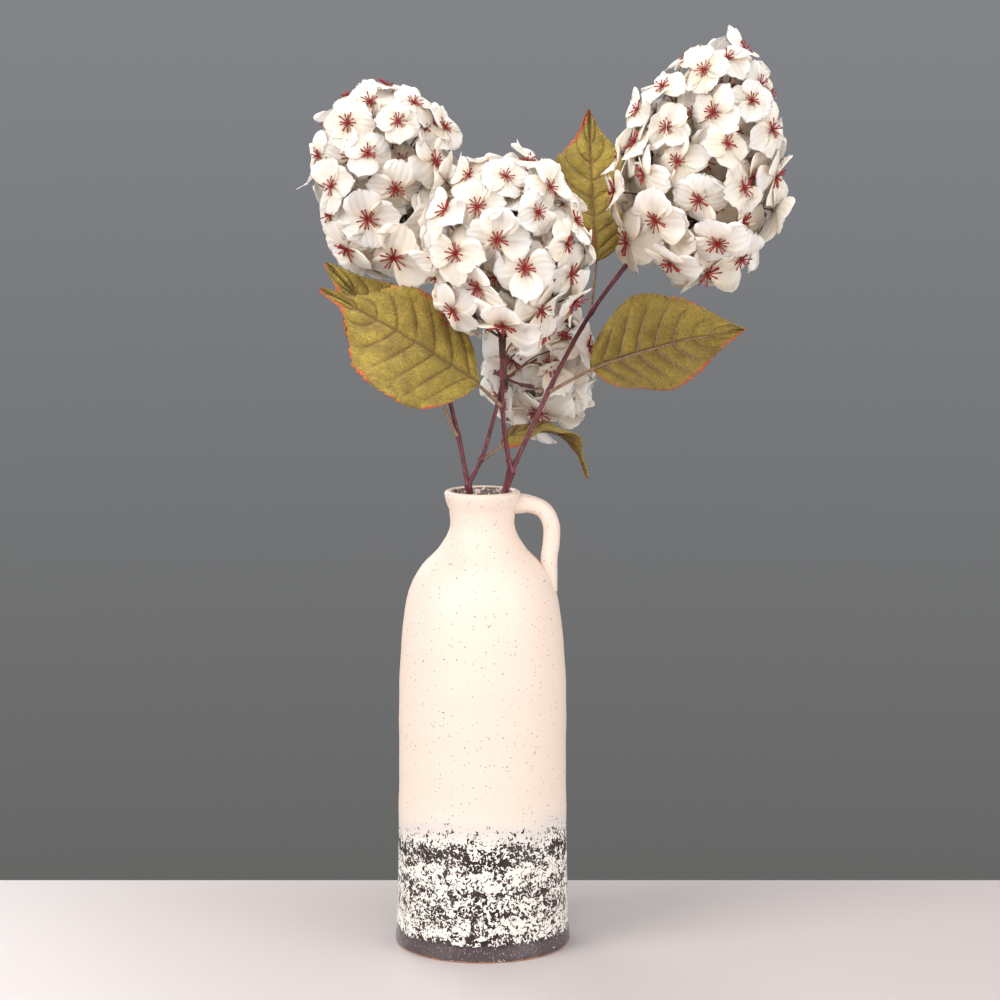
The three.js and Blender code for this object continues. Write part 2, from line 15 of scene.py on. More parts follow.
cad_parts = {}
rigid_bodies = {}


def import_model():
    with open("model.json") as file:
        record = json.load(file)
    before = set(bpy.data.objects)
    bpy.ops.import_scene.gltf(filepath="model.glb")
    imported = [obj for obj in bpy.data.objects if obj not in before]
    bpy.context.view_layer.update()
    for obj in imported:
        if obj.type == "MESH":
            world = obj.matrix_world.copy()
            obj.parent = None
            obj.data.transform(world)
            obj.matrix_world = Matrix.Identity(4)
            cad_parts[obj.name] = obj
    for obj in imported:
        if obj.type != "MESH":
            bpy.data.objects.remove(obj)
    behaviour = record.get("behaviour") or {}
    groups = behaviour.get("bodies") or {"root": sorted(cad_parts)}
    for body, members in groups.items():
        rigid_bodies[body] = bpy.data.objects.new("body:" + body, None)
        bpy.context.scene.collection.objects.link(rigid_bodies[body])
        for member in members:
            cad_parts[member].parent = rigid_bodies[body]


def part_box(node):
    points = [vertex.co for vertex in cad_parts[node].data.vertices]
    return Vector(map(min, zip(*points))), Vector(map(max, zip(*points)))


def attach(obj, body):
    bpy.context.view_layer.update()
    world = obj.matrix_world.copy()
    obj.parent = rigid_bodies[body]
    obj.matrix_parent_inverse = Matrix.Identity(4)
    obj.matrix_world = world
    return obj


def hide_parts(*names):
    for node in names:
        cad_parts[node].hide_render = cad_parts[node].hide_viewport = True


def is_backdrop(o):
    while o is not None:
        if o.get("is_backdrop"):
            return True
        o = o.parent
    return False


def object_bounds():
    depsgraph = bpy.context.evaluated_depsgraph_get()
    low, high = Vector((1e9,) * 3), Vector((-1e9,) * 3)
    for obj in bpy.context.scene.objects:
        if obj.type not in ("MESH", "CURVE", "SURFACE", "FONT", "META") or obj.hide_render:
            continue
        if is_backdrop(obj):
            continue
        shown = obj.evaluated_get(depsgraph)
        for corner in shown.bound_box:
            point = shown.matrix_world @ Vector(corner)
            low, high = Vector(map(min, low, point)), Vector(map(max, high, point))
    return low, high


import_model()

LOG = logging.getLogger("hydrangeas")
MM = 0.001
GOLDEN_ANGLE = math.pi * (3 - math.sqrt(5))
WAVE_SCALE = 0.1 * math.pi  # of a wave texture that repeats once in a unit
PER_METRE = 10.0  # decimetres
BODY = "root"
FLORET_KINDS = 9
STAR_KINDS = 5

Polyline = tuple[list[Vector], list[float]]


# ---- Numbers and lines ------------------------------------------------------------------------


def mix(start: float, end: float, share: float) -> float:
    """Returns the value at a share of the way from start to end."""
    return start + (end - start) * share


def bump(distance: float, reach: float) -> float:
    """Returns a smooth hump of height 1 that has died away beyond its reach."""
    return math.exp(-((distance / reach) ** 2))


def across(direction: Vector) -> Vector:
    """Returns a unit vector at right angles to a direction."""
    helper = Vector((0, 0, 1)) if abs(direction.z) < 0.9 else Vector((1, 0, 0))
    return helper.cross(direction).normalized()


def bezier(points: Sequence[Vector], share: float) -> Vector:
    """Returns the point of a Bezier curve at a share of its way.

    Args:
        points: The curve's control points, in order.
        share: From 0 at the first point to 1 at the last.

    Returns:
        The point on the curve.
    """
    level = [point.copy() for point in points]
    while len(level) > 1:
        level = [one.lerp(two, share) for one, two in zip(level, level[1:])]
    return level[0]


class Route:
    """A smooth line through a few points, walked by its length in millimetres."""

    def __init__(self, points: Sequence[Vector], steps: int = 24) -> None:
        """Samples the centripetal curve through the points.

        Args:
            points: The points that the line goes through.
            steps: Samples between one point and the next.
        """
        self.samples = self._through(points, steps)
        self.marks = [0.0]
        for one, two in zip(self.samples, self.samples[1:]):
            self.marks.append(self.marks[-1] + (two - one).length)

    @staticmethod
    def _through(points: Sequence[Vector], steps: int) -> list[Vector]:
        """Returns evenly timed samples of the centripetal curve through the points."""
        knots = [points[0] * 2 - points[1], *points, points[-1] * 2 - points[-2]]
        samples = [points[0].copy()]
        for before, start, end, after in zip(knots, knots[1:], knots[2:], knots[3:]):
            first = math.sqrt((start - before).length)
            own = math.sqrt((end - start).length)
            last = math.sqrt((after - end).length)
            leave = (start - before) / first - (end - before) / (first + own) + (end - start) / own
            arrive = (end - start) / own - (after - start) / (own + last) + (after - end) / last
            handles = [start, start + leave * own / 3, end - arrive * own / 3, end]
            samples += [bezier(handles, step / steps) for step in range(1, steps + 1)]
        return samples

    @property
    def length(self) -> float:
        """The line's whole length."""
        return self.marks[-1]

    def at(self, distance: float) -> Vector:
        """Returns the point at a distance along the line."""
        distance = min(max(distance, 0.0), self.length)
        after = next(index for index, mark in enumerate(self.marks[1:], 1) if mark >= distance)
        start, end = self.marks[after - 1], self.marks[after]
        return self.samples[after - 1].lerp(self.samples[after], (distance - start) / (end - start))

    def heading(self, distance: float) -> Vector:
        """Returns the unit direction of the line at a distance along it."""
        step = self.length / len(self.marks)
        return (self.at(distance + step) - self.at(distance - step)).normalized()

    def walk(self, start: float, end: float, step: float) -> list[float]:
        """Returns even distances from start to end, about a step apart."""
        count = max(2, round((end - start) / step))
        return [mix(start, end, index / count) for index in range(count + 1)]


# ---- Nodes ------------------------------------------------------------------------------------


def linear(colour: str) -> tuple[float, float, float, float]:
    """Returns an sRGB hex colour as linear RGBA."""
    parts = [int(colour[index : index + 2], 16) / 255 for index in (1, 3, 5)]
    red, green, blue = (
        part / 12.92 if part <= 0.04045 else ((part + 0.055) / 1.055) ** 2.4 for part in parts
    )
    return red, green, blue, 1.0


def add_node(
    tree: bpy.types.NodeTree,
    kind: str,
    inputs: dict | None = None,
    stops: Sequence[tuple[float, str | float]] = (),
    out: int | str = 0,
    **settings: object,
) -> bpy.types.NodeSocket | None:
    """Adds a node with its settings, its input values or links, and a ramp's colour stops.

    Args:
        tree: The tree that gets the node.
        kind: The node's type, where a short one has ShaderNode put in front.
        inputs: Values or sockets by the name or the number of the input.
        stops: Places of a colour ramp, each with a hex colour or a plain value.
        out: The name or the number of the wanted output.
        **settings: The node's own properties.

    Returns:
        The wanted output, or nothing where the node has none.
    """
    node = tree.nodes.new(kind if "Node" in kind else "ShaderNode" + kind)
    for name, value in settings.items():
        setattr(node, name, value)
    for name, value in (inputs or {}).items():
        if isinstance(value, bpy.types.NodeSocket):
            tree.links.new(value, node.inputs[name])
        else:
            node.inputs[name].default_value = value
    for index, (place, colour) in enumerate(stops):
        stop = node.color_ramp.elements[index] if index < 2 else node.color_ramp.elements.new(place)
        stop.position = place
        stop.color = linear(colour) if isinstance(colour, str) else (colour, colour, colour, 1.0)
    return node.outputs[out] if node.outputs else None


class ShapeTree:
    """A geometry tree with named inputs, run once on a mesh and turned into a plain mesh."""

    name = "shape"
    sockets: dict[str, str] = {}  # the tree's own inputs: their names and kinds

    def __init__(self) -> None:
        """Builds the tree between its input and its output."""
        self.tree = bpy.data.node_groups.new(self.name, "GeometryNodeTree")
        self.add = partial(add_node, self.tree)
        named = {"Geometry": "Geometry", **self.sockets, "Material": "Material"}
        for name, kind in named.items():
            self._socket(name, "INPUT", kind)
        self._socket("Geometry", "OUTPUT", "Geometry")
        given = self.add("NodeGroupInput").node.outputs
        real = self.add("GeometryNodeRealizeInstances", {"Geometry": self.shape(given)})
        smooth = self.add("GeometryNodeSetShadeSmooth", {"Geometry": real})
        dressed = {"Geometry": smooth, "Material": given["Material"]}
        self.add("NodeGroupOutput", {"Geometry": self.add("GeometryNodeSetMaterial", dressed)})

    def _socket(self, name: str, side: str, kind: str) -> None:
        """Adds one socket to the tree's interface."""
        self.tree.interface.new_socket(name=name, in_out=side, socket_type="NodeSocket" + kind)

    def shape(self, given: bpy.types.NodeOutputs) -> bpy.types.NodeSocket:
        """Adds the tree's own nodes.

        Args:
            given: The tree's inputs.

        Returns:
            The socket that carries the shape.
        """
        raise NotImplementedError

    def run(self, name: str, source: bpy.types.Mesh, **values: object) -> bpy.types.Mesh:
        """Runs the tree on a mesh.

        Args:
            name: The new mesh's name.
            source: The points or lines that the tree starts from, removed afterwards.
            **values: The tree's inputs, with an underscore for each space of a name.

        Returns:
            The finished plain mesh.
        """
        holder = linked(name + "_source", source)
        modifier = holder.modifiers.new("shape", "NODES")
        modifier.node_group = self.tree
        wanted = {key.replace("_", " "): value for key, value in values.items()}
        for item in self.tree.interface.items_tree:
            if item.in_out == "INPUT" and item.name in wanted:
                modifier[item.identifier] = wanted[item.name]
        graph = bpy.context.evaluated_depsgraph_get()
        mesh = bpy.data.meshes.new_from_object(
            holder.evaluated_get(graph), preserve_all_data_layers=True, depsgraph=graph
        )
        mesh.name = name
        bpy.data.objects.remove(holder)
        bpy.data.meshes.remove(source)
        return mesh


class WireTree(ShapeTree):
    """Sweeps a round section along every line, as thick as the line's own radius says."""

    name = "swept_wire"
    sockets = {"Sides": "Int"}

    def shape(self, given: bpy.types.NodeOutputs) -> bpy.types.NodeSocket:
        """Adds the sweep and returns the socket of its tubes."""
        line = self.add("GeometryNodeMeshToCurve", {"Mesh": given["Geometry"]})
        thick = self.add("GeometryNodeInputNamedAttribute", {"Name": "thick"}, data_type="FLOAT")
        section = self.add("GeometryNodeCurvePrimitiveCircle", {"Resolution": given["Sides"], "Radius": 1.0})
        sweep = {"Curve": line, "Profile Curve": section, "Scale": thick, "Fill Caps": True}
        return self.add("GeometryNodeCurveToMesh", sweep)


class FlowerTree(ShapeTree):
    """Sets one of several kinds of a small shape on each point, facing out and a little astray."""

    name = "set_flowers"
    sockets = {"Kinds": "Collection", "Tilt": "Float", "Seed": "Int"}
    values = {"facing": "FLOAT_VECTOR", "spin": "FLOAT", "size": "FLOAT", "kind": "INT"}

    def shape(self, given: bpy.types.NodeOutputs) -> bpy.types.NodeSocket:
        """Adds the instances and returns their socket."""
        read = {
            name: self.add("GeometryNodeInputNamedAttribute", {"Name": name}, data_type=kind)
            for name, kind in self.values.items()
        }
        parted = {"Separate Children": True, "Reset Children": True}
        kinds = self.add("GeometryNodeCollectionInfo", {"Collection": given["Kinds"]} | parted)
        facing = self.add("FunctionNodeAlignRotationToVector", {"Vector": read["facing"]}, axis="Z")
        turn = self.add("FunctionNodeAxisAngleToRotation", {"Angle": read["spin"]})
        lowest = self.add("Math", {0: given["Tilt"], 1: -1.0}, operation="MULTIPLY")
        leans = []
        for number in range(2):
            seed = self.add("Math", {0: given["Seed"], 1: float(number)}, operation="ADD")
            range_of = {"Min": lowest, "Max": given["Tilt"], "Seed": seed}
            leans.append(self.add("FunctionNodeRandomValue", range_of, data_type="FLOAT", out="Value"))
        lean = self.add("CombineXYZ", {"X": leans[0], "Y": leans[1]})
        rotation = facing
        for way in (turn, self.add("FunctionNodeEulerToRotation", {"Euler": lean})):
            turned = {"Rotation": rotation, "Rotate By": way}
            rotation = self.add("FunctionNodeRotateRotation", turned, rotation_space="LOCAL")
        picked = {"Instance": kinds, "Pick Instance": True, "Instance Index": read["kind"]}
        placed = {"Points": given["Geometry"], "Rotation": rotation, "Scale": read["size"]}
        return self.add("GeometryNodeInstanceOnPoints", placed | picked)


# ---- Meshes and pieces ------------------------------------------------------------------------


def linked(name: str, data: bpy.types.ID) -> bpy.types.Object:
    """Returns a new object of the scene that holds some data."""
    holder = bpy.data.objects.new(name, data)
    bpy.context.scene.collection.objects.link(holder)
    return holder


class Slot(Enum):
    """The record's material slots."""

    GLAZE = "glaze"
    STEM = "stem"
    PETAL = "petal"
    LEAF = "leaf"
    RIB = "rib"


def named_values(mesh: bpy.types.Mesh, name: str, values: Sequence) -> None:
    """Gives each vertex of a mesh a named number or vector.

    Args:
        mesh: The mesh.
        name: The attribute's name.
        values: One float, int or Vector for each vertex.
    """
    kinds = {float: "FLOAT", int: "INT", Vector: "FLOAT_VECTOR"}
    kind = kinds[type(values[0])]
    attribute = mesh.attributes.new(name, kind, "POINT")
    if kind == "FLOAT_VECTOR":
        attribute.data.foreach_set("vector", [part for value in values for part in value])
    else:
        attribute.data.foreach_set("value", values)


def behind(along: float, side: float, back: bool) -> float:
    """Returns 1 on a sheet's back and 0 on its front."""
    return float(back)


def line_mesh(lines: Sequence[Polyline]) -> bpy.types.Mesh:
    """Returns lines as one mesh of edges that knows how thick each point is.

    Args:
        lines: For each line its points and a radius for each point.
    """
    points: list[Vector] = []
    edges: list[tuple[int, int]] = []
    thick: list[float] = []
    for places, radii in lines:
        first = len(points)
        points += places
        thick += [float(radius) for radius in radii]
        edges += [(index, index + 1) for index in range(first, len(points) - 1)]
    mesh = bpy.data.meshes.new("lines")
    mesh.from_pydata(points, edges, [])
    named_values(mesh, "thick", thick)
    return mesh


def shell_mesh(
    name: str,
    rows: int,
    columns: int,
    surface: Callable[[float, float, bool], Vector],
    values: dict[str, Callable[[float, float, bool], float]],
) -> bpy.types.Mesh:
    """Makes a thin closed sheet from a front and a back grid.

    Args:
        name: The mesh's name.
        rows: Steps along the sheet.
        columns: Steps across the sheet.
        surface: The point at a share along (0 to 1), a share across (-1 to 1) and on the back or not.
        values: Named numbers of each vertex, from the same three arguments.

    Returns:
        The mesh, with a UV map of the shares.
    """
    grid = [
        (row / rows, 2 * column / columns - 1, back)
        for back in (False, True)
        for row in range(rows + 1)
        for column in range(columns + 1)
    ]
    wide = columns + 1
    behind = (rows + 1) * wide
    faces = []
    for row in range(rows):
        for column in range(columns):
            corner = row * wide + column
            front = (corner, corner + 1, corner + wide + 1, corner + wide)
            faces.append(front)
            faces.append(tuple(index + behind for index in reversed(front)))
    border = list(range(wide))
    border += [row * wide + columns for row in range(1, rows + 1)]
    border += [rows * wide + column for column in range(columns - 1, -1, -1)]
    border += [row * wide for row in range(rows - 1, 0, -1)]
    for start, end in zip(border, border[1:] + border[:1]):
        faces.append((end, start, start + behind, end + behind))
    mesh = bpy.data.meshes.new(name)
    mesh.from_pydata([surface(*place) for place in grid], [], faces)
    for key, value in values.items():
        named_values(mesh, key, [float(value(*place)) for place in grid])
    layer = mesh.uv_layers.new(name="cloth")
    for loop in mesh.loops:
        along, side, _ = grid[loop.vertex_index]
        layer.data[loop.index].uv = (along, side)
    mesh.polygons.foreach_set("use_smooth", [True] * len(mesh.polygons))
    return mesh


def turned_mesh(name: str, profile: Sequence[tuple[float, float]], sides: int) -> bpy.types.Mesh:
    """Turns a profile that starts and ends on the axis about +Z.

    Args:
        name: The mesh's name.
        profile: Radius and height of each ring, upwards on the outside.
        sides: Steps round the axis.

    Returns:
        The closed mesh.
    """
    points = [Vector((0, 0, profile[0][1])), Vector((0, 0, profile[-1][1]))]
    rings = []
    for radius, height in profile[1:-1]:
        rings.append(len(points))
        for side in range(sides):
            angle = 2 * math.pi * side / sides
            points.append(Vector((radius * math.cos(angle), radius * math.sin(angle), height)))
    faces: list[tuple[int, ...]] = []
    for side in range(sides):
        after = (side + 1) % sides
        faces.append((0, rings[0] + after, rings[0] + side))
        faces.append((1, rings[-1] + side, rings[-1] + after))
        for low, high in zip(rings, rings[1:]):
            faces.append((low + side, low + after, high + after, high + side))
    mesh = bpy.data.meshes.new(name)
    mesh.from_pydata(points, [], faces)
    return mesh


def cut_or_joined(mesh: bpy.types.Mesh, other: bpy.types.Mesh, operation: str) -> bpy.types.Mesh:
    """Cuts one closed mesh by another or joins the two.

    Args:
        mesh: The first mesh, removed afterwards.
        other: The second mesh, removed afterwards.
        operation: DIFFERENCE or UNION.

    Returns:
        The new mesh.
    """
    holders = [linked("holder", data) for data in (mesh, other)]
    modifier = holders[0].modifiers.new("solid", "BOOLEAN")
    modifier.operation = operation
    modifier.solver = "EXACT"
    modifier.object = holders[1]
    graph = bpy.context.evaluated_depsgraph_get()
    result = bpy.data.meshes.new_from_object(holders[0].evaluated_get(graph), depsgraph=graph)
    for holder in holders:
        data = holder.data
        bpy.data.objects.remove(holder)
        bpy.data.meshes.remove(data)
    return result


@dataclass(frozen=True)
class Place:
    """The middle of the vase's mouth in the frame, which every bouquet point is measured from."""

    mouth: Vector

    @classmethod
    def from_frame(cls) -> "Place":
        """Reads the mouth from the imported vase's box."""
        low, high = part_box("vase")
        return cls(Vector(((low.x + high.x) / 2, (low.y + high.y) / 2, high.z)))

    def settle(self, mesh: bpy.types.Mesh, drop: float = 0.0) -> bpy.types.Mesh:
        """Moves a mesh in millimetres from the mouth into the frame in metres.

        Args:
            mesh: The mesh, changed in place.
            drop: How far below the mouth its origin is, in millimetres.

        Returns:
            The same mesh.
        """
        origin = self.mouth - Vector((0, 0, drop * MM))
        mesh.transform(Matrix.Translation(origin) @ Matrix.Scale(MM, 4))
        return mesh

    def crown(self, head: str) -> Vector:
        """Returns a packed crown's middle in millimetres from the mouth."""
        low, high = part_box("crown_" + head)
        return ((low + high) / 2 - self.mouth) / MM


def add_piece(
    name: str,
    mesh: bpy.types.Mesh,
    material: bpy.types.Material,
    slot: Slot,
    stands_for: Sequence[str] = (),
) -> bpy.types.Object:
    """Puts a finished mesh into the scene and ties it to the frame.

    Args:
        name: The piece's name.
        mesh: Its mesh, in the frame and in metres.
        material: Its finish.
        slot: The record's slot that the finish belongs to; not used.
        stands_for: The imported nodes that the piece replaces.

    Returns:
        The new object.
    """
    mesh.materials.clear()
    mesh.materials.append(material)
    piece = linked(name, mesh)
    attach(piece, BODY)
    if stands_for:
        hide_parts(*stands_for)
    LOG.info("%s: %d faces", name, len(mesh.polygons))
    return piece


# ---- Finishes ---------------------------------------------------------------------------------

NodeAdder = Callable[..., bpy.types.NodeSocket]
Inputs = dict[str, object]


def per(size: float) -> float:
    """Returns the texture scale of a feature that is so many millimetres across."""
    return 1 / (size * MM)


def woven(add: NodeAdder, place: bpy.types.NodeSocket, weave: float, wander: float) -> bpy.types.NodeSocket:
    """Adds crossing threads.

    Args:
        add: Adds a node to the material's tree.
        place: The object coordinates.
        weave: Millimetres from thread to thread.
        wander: How far the threads stray.

    Returns:
        The height of the weave.
    """
    warp, weft = (
        add(
            "TexWave",
            {"Vector": place, "Scale": WAVE_SCALE / (weave * MM), "Distortion": wander},
            wave_type="BANDS",
            bands_direction=direction,
            out="Fac",
        )
        for direction in ("X", "Z")
    )
    return add("Math", {0: warp, 1: weft}, operation="MULTIPLY")


@dataclass(frozen=True)
class Finish:
    """A surface finish: one Principled shader with what the subclass paints on it."""

    name: str = "finish"
    roughness: float = 0.5
    ior: float = 1.5
    sheen: float = 0.0
    coat: float = 0.0
    glow: float = 0.0  # the share of light that passes into the surface and out again
    glow_depth: float = 1.0  # mm that it goes in

    def material(self) -> bpy.types.Material:
        """Builds the material and returns it."""
        material = bpy.data.materials.new(self.name)
        material.use_nodes = True
        material.node_tree.nodes.clear()
        add = partial(add_node, material.node_tree)
        plain = {
            "Roughness": self.roughness,
            "IOR": self.ior,
            "Sheen Weight": self.sheen,
            "Coat Weight": self.coat,
            "Subsurface Weight": self.glow,
            "Subsurface Radius": (1.0, 1.0, 1.0),
            "Subsurface Scale": self.glow_depth * MM,
        }
        add("OutputMaterial", {"Surface": add("BsdfPrincipled", plain | self.paint(add))})
        return material

    def paint(self, add: NodeAdder) -> Inputs:
        """Adds the finish's own nodes.

        Args:
            add: Adds a node to the material's tree.

        Returns:
            The shader's inputs that the nodes feed.
        """
        raise NotImplementedError


@dataclass(frozen=True)
class GlazedStoneware(Finish):
    """Stoneware dipped in a satin cream glaze, its foot in dark slip, with glaze spattered between.

    The cream lies soft and nearly plain, with small iron specks. The spatter stands a little proud
    of the dark slip, and the foot shines more than the cream does.
    """

    name: str = "glazed_stoneware"
    roughness: float = 0.58
    coat: float = 0.04
    slip_roughness: float = 0.24
    spatter_grain: float = 2.5  # mm across a blot of spattered glaze
    blot_group: float = 9.0  # mm across a group of blots
    group_squash: float = 1.9  # how much flatter a group is than wide
    band_wander: float = 34.0  # mm over which the band's edge wanders
    fleck: float = 0.9  # mm across a fleck in the foot's slip
    skin: float = 1.1  # mm across the glaze's unevenness
    relief: float = 0.3  # mm that the glaze stands above the slip
    speck_spacing: float = 2.7  # mm between iron specks
    mouth_radius: float = 20.4  # mm, inside which the neck's inner wall lies
    # The share of dark slip that shows, by height in decimetres.
    slip_share: tuple[tuple[float, float], ...] = (
        (0.0, 0.94),
        (0.09, 0.97),
        (0.12, 0.6),
        (0.16, 0.45),
        (0.24, 0.44),
        (0.33, 0.58),
        (0.4, 0.5),
        (0.46, 0.55),
        (0.54, 0.42),
        (0.6, 0.44),
        (0.655, 0.66),
        (0.7, 0.63),
        (0.76, 0.46),
        (0.83, 0.27),
        (0.91, 0.1),
        (1.0, 0.0),
    )

    def paint(self, add: NodeAdder) -> Inputs:
        """Adds the glaze bands, the spatter, the specks and the relief."""
        place = add("TexCoord", out="Object")
        axes = add("SeparateXYZ", {"Vector": place}).node.outputs
        height = add("Math", {0: axes["Z"], 1: PER_METRE}, operation="MULTIPLY")
        dark, groups, blots, edge = self.spatter(add, place, height)
        bands = ((0.72, "#ebe3da"), (0.84, "#d6ccc6"), (0.92, "#e0d2c4"), (1.0, "#e3cfc0"))
        cream = add("ValToRGB", {"Fac": edge}, bands)
        slip = add("ValToRGB", {"Fac": groups}, ((0.35, "#120b09"), (0.62, "#32221e")))
        low = {"From Min": 0.085, "From Max": 0.125, "To Min": 1.0, "To Max": 0.0}
        foot = add("MapRange", {"Value": height} | low)
        flecks = add("TexNoise", {"Vector": place, "Scale": per(self.fleck), "Detail": 2.0})
        flecked = add("ValToRGB", {"Fac": flecks}, ((0.5, "#493c3e"), (0.66, "#64575a"), (0.72, "#b8aeab")))
        footed = add("Mix", {0: foot, 6: slip, 7: flecked}, data_type="RGBA", out=2)
        glazed = add("Mix", {0: dark, 6: cream, 7: footed}, data_type="RGBA", out=2)
        lined = self.inner_wall(add, axes, blots, self.specks(add, place, glazed))
        ragged = add("Math", {0: blots, 1: 0.03, 2: height}, operation="MULTIPLY_ADD")
        clay = add("Math", {0: ragged, 1: 0.025}, operation="LESS_THAN")
        gloss = {"Value": dark, "To Min": self.roughness, "To Max": self.slip_roughness}
        skin = add("TexNoise", {"Vector": place, "Scale": per(self.skin), "Detail": 1.0})
        relief = add("Math", {0: dark, 1: -1.0, 2: skin}, operation="MULTIPLY_ADD")
        return {
            "Base Color": add("Mix", {0: clay, 6: lined, 7: linear("#cf9468")}, data_type="RGBA", out=2),
            "Roughness": add("MapRange", gloss),
            "Normal": add("Bump", {"Height": relief, "Strength": 0.5, "Distance": self.relief * MM}),
        }

    def spatter(
        self, add: NodeAdder, place: bpy.types.NodeSocket, height: bpy.types.NodeSocket
    ) -> tuple[bpy.types.NodeSocket, ...]:
        """Adds the pattern of the spattered band.

        Args:
            add: Adds a node to the material's tree.
            place: The object coordinates.
            height: The height in decimetres.

        Returns:
            The share of dark slip, the groups of blots, the blots and the wandering height.
        """
        wander = add("TexNoise", {"Vector": place, "Scale": per(self.band_wander), "Detail": 2.0})
        strength = add("MapRange", {"Value": height, "From Min": 0.15, "From Max": 0.6, "To Max": 0.24})
        centred = add("Math", {0: wander, 1: 0.5}, operation="SUBTRACT")
        edge = add("Math", {0: centred, 1: strength, 2: height}, operation="MULTIPLY_ADD")
        cover = add("ValToRGB", {"Fac": edge}, self.slip_share)
        rough = {"Detail": 1.6, "Roughness": 0.6, "Distortion": 1.2}
        blots = add("TexNoise", {"Vector": place, "Scale": per(self.spatter_grain)} | rough)
        low = add("Mapping", {"Vector": place, "Scale": (1.0, 1.0, self.group_squash)})
        groups = add("TexNoise", {"Vector": low, "Scale": per(self.blot_group), "Detail": 1.0})
        level = add("MapRange", {"Value": cover, "To Min": 0.0, "To Max": 0.56})
        grouped = add("Math", {0: groups, 1: 0.42, 2: level}, operation="MULTIPLY_ADD")
        over = add("Math", {0: grouped, 1: blots}, operation="SUBTRACT")
        crisp = {"Value": over, "From Min": 0.0, "From Max": 0.012}
        return add("MapRange", crisp, interpolation_type="SMOOTHSTEP"), groups, blots, edge

    def specks(
        self, add: NodeAdder, place: bpy.types.NodeSocket, glazed: bpy.types.NodeSocket
    ) -> bpy.types.NodeSocket:
        """Adds the iron specks to the glaze's colour and returns the new colour."""
        cells = add("TexVoronoi", {"Vector": place, "Scale": per(self.speck_spacing)}).node.outputs
        chance = add("SeparateColor", {"Color": cells["Color"]})
        shrunk = add("Math", {0: cells["Distance"], 1: chance}, operation="DIVIDE")
        near = {"From Min": 0.15, "From Max": 0.27, "To Min": 0.75, "To Max": 0.0}
        speck = add("MapRange", {"Value": shrunk} | near)
        return add("Mix", {0: speck, 6: glazed, 7: linear("#776c64")}, data_type="RGBA", out=2)

    def inner_wall(
        self,
        add: NodeAdder,
        axes: bpy.types.NodeOutputs,
        blots: bpy.types.NodeSocket,
        colour: bpy.types.NodeSocket,
    ) -> bpy.types.NodeSocket:
        """Stains the neck's inner wall with slip and returns the new colour."""
        flat = add("CombineXYZ", {"X": axes["X"], "Y": axes["Y"]})
        radius = add("VectorMath", {0: flat}, operation="LENGTH", out="Value")
        inside = add("Math", {0: radius, 1: self.mouth_radius * MM}, operation="LESS_THAN")
        patches = add("MapRange", {"Value": blots, "From Min": 0.4, "From Max": 0.5, "To Max": 0.9})
        stained = add("Math", {0: inside, 1: patches}, operation="MULTIPLY")
        return add("Mix", {0: stained, 6: colour, 7: linear("#4f3b32")}, data_type="RGBA", out=2)


@dataclass(frozen=True)
class MottledPlastic(Finish):
    """Moulded polyethylene over wire, dip-coloured: glossy, with streaks, pale scuffs and fine grain."""

    name: str = "dipped_polyethylene"
    roughness: float = 0.33
    ior: float = 1.51
    worn_roughness: float = 0.6
    deep: str = "#451620"
    bright: str = "#702a34"
    scuff: str = "#c79a92"
    scuff_share: float = 0.7  # noise level past which a scuff shows
    streak: float = 9.0  # mm along a streak of colour
    grain: float = 1.4  # mm across a scuff
    relief: float = 0.12  # mm of moulded unevenness

    def paint(self, add: NodeAdder) -> Inputs:
        """Adds the streaks, the scuffs and the unevenness."""
        place = add("TexCoord", out="Object")
        drawn = add("Mapping", {"Vector": place, "Scale": (1.0, 1.0, self.grain / self.streak)})
        streaks = add("TexNoise", {"Vector": drawn, "Scale": per(self.grain), "Detail": 3.0})
        colour = add("ValToRGB", {"Fac": streaks}, ((0.35, self.deep), (0.62, self.bright)))
        marks = add("TexNoise", {"Vector": place, "Scale": per(self.grain), "Detail": 4.0})
        scuffs = {"From Min": self.scuff_share - 0.04, "From Max": self.scuff_share, "To Max": 0.7}
        worn = add("MapRange", {"Value": marks} | scuffs)
        dulled = {"From Min": 0.3, "From Max": 0.75, "To Min": self.roughness, "To Max": self.worn_roughness}
        return {
            "Base Color": add("Mix", {0: worn, 6: colour, 7: linear(self.scuff)}, data_type="RGBA", out=2),
            "Roughness": add("MapRange", {"Value": marks} | dulled),
            "Normal": add("Bump", {"Height": streaks, "Strength": 0.6, "Distance": self.relief * MM}),
        }


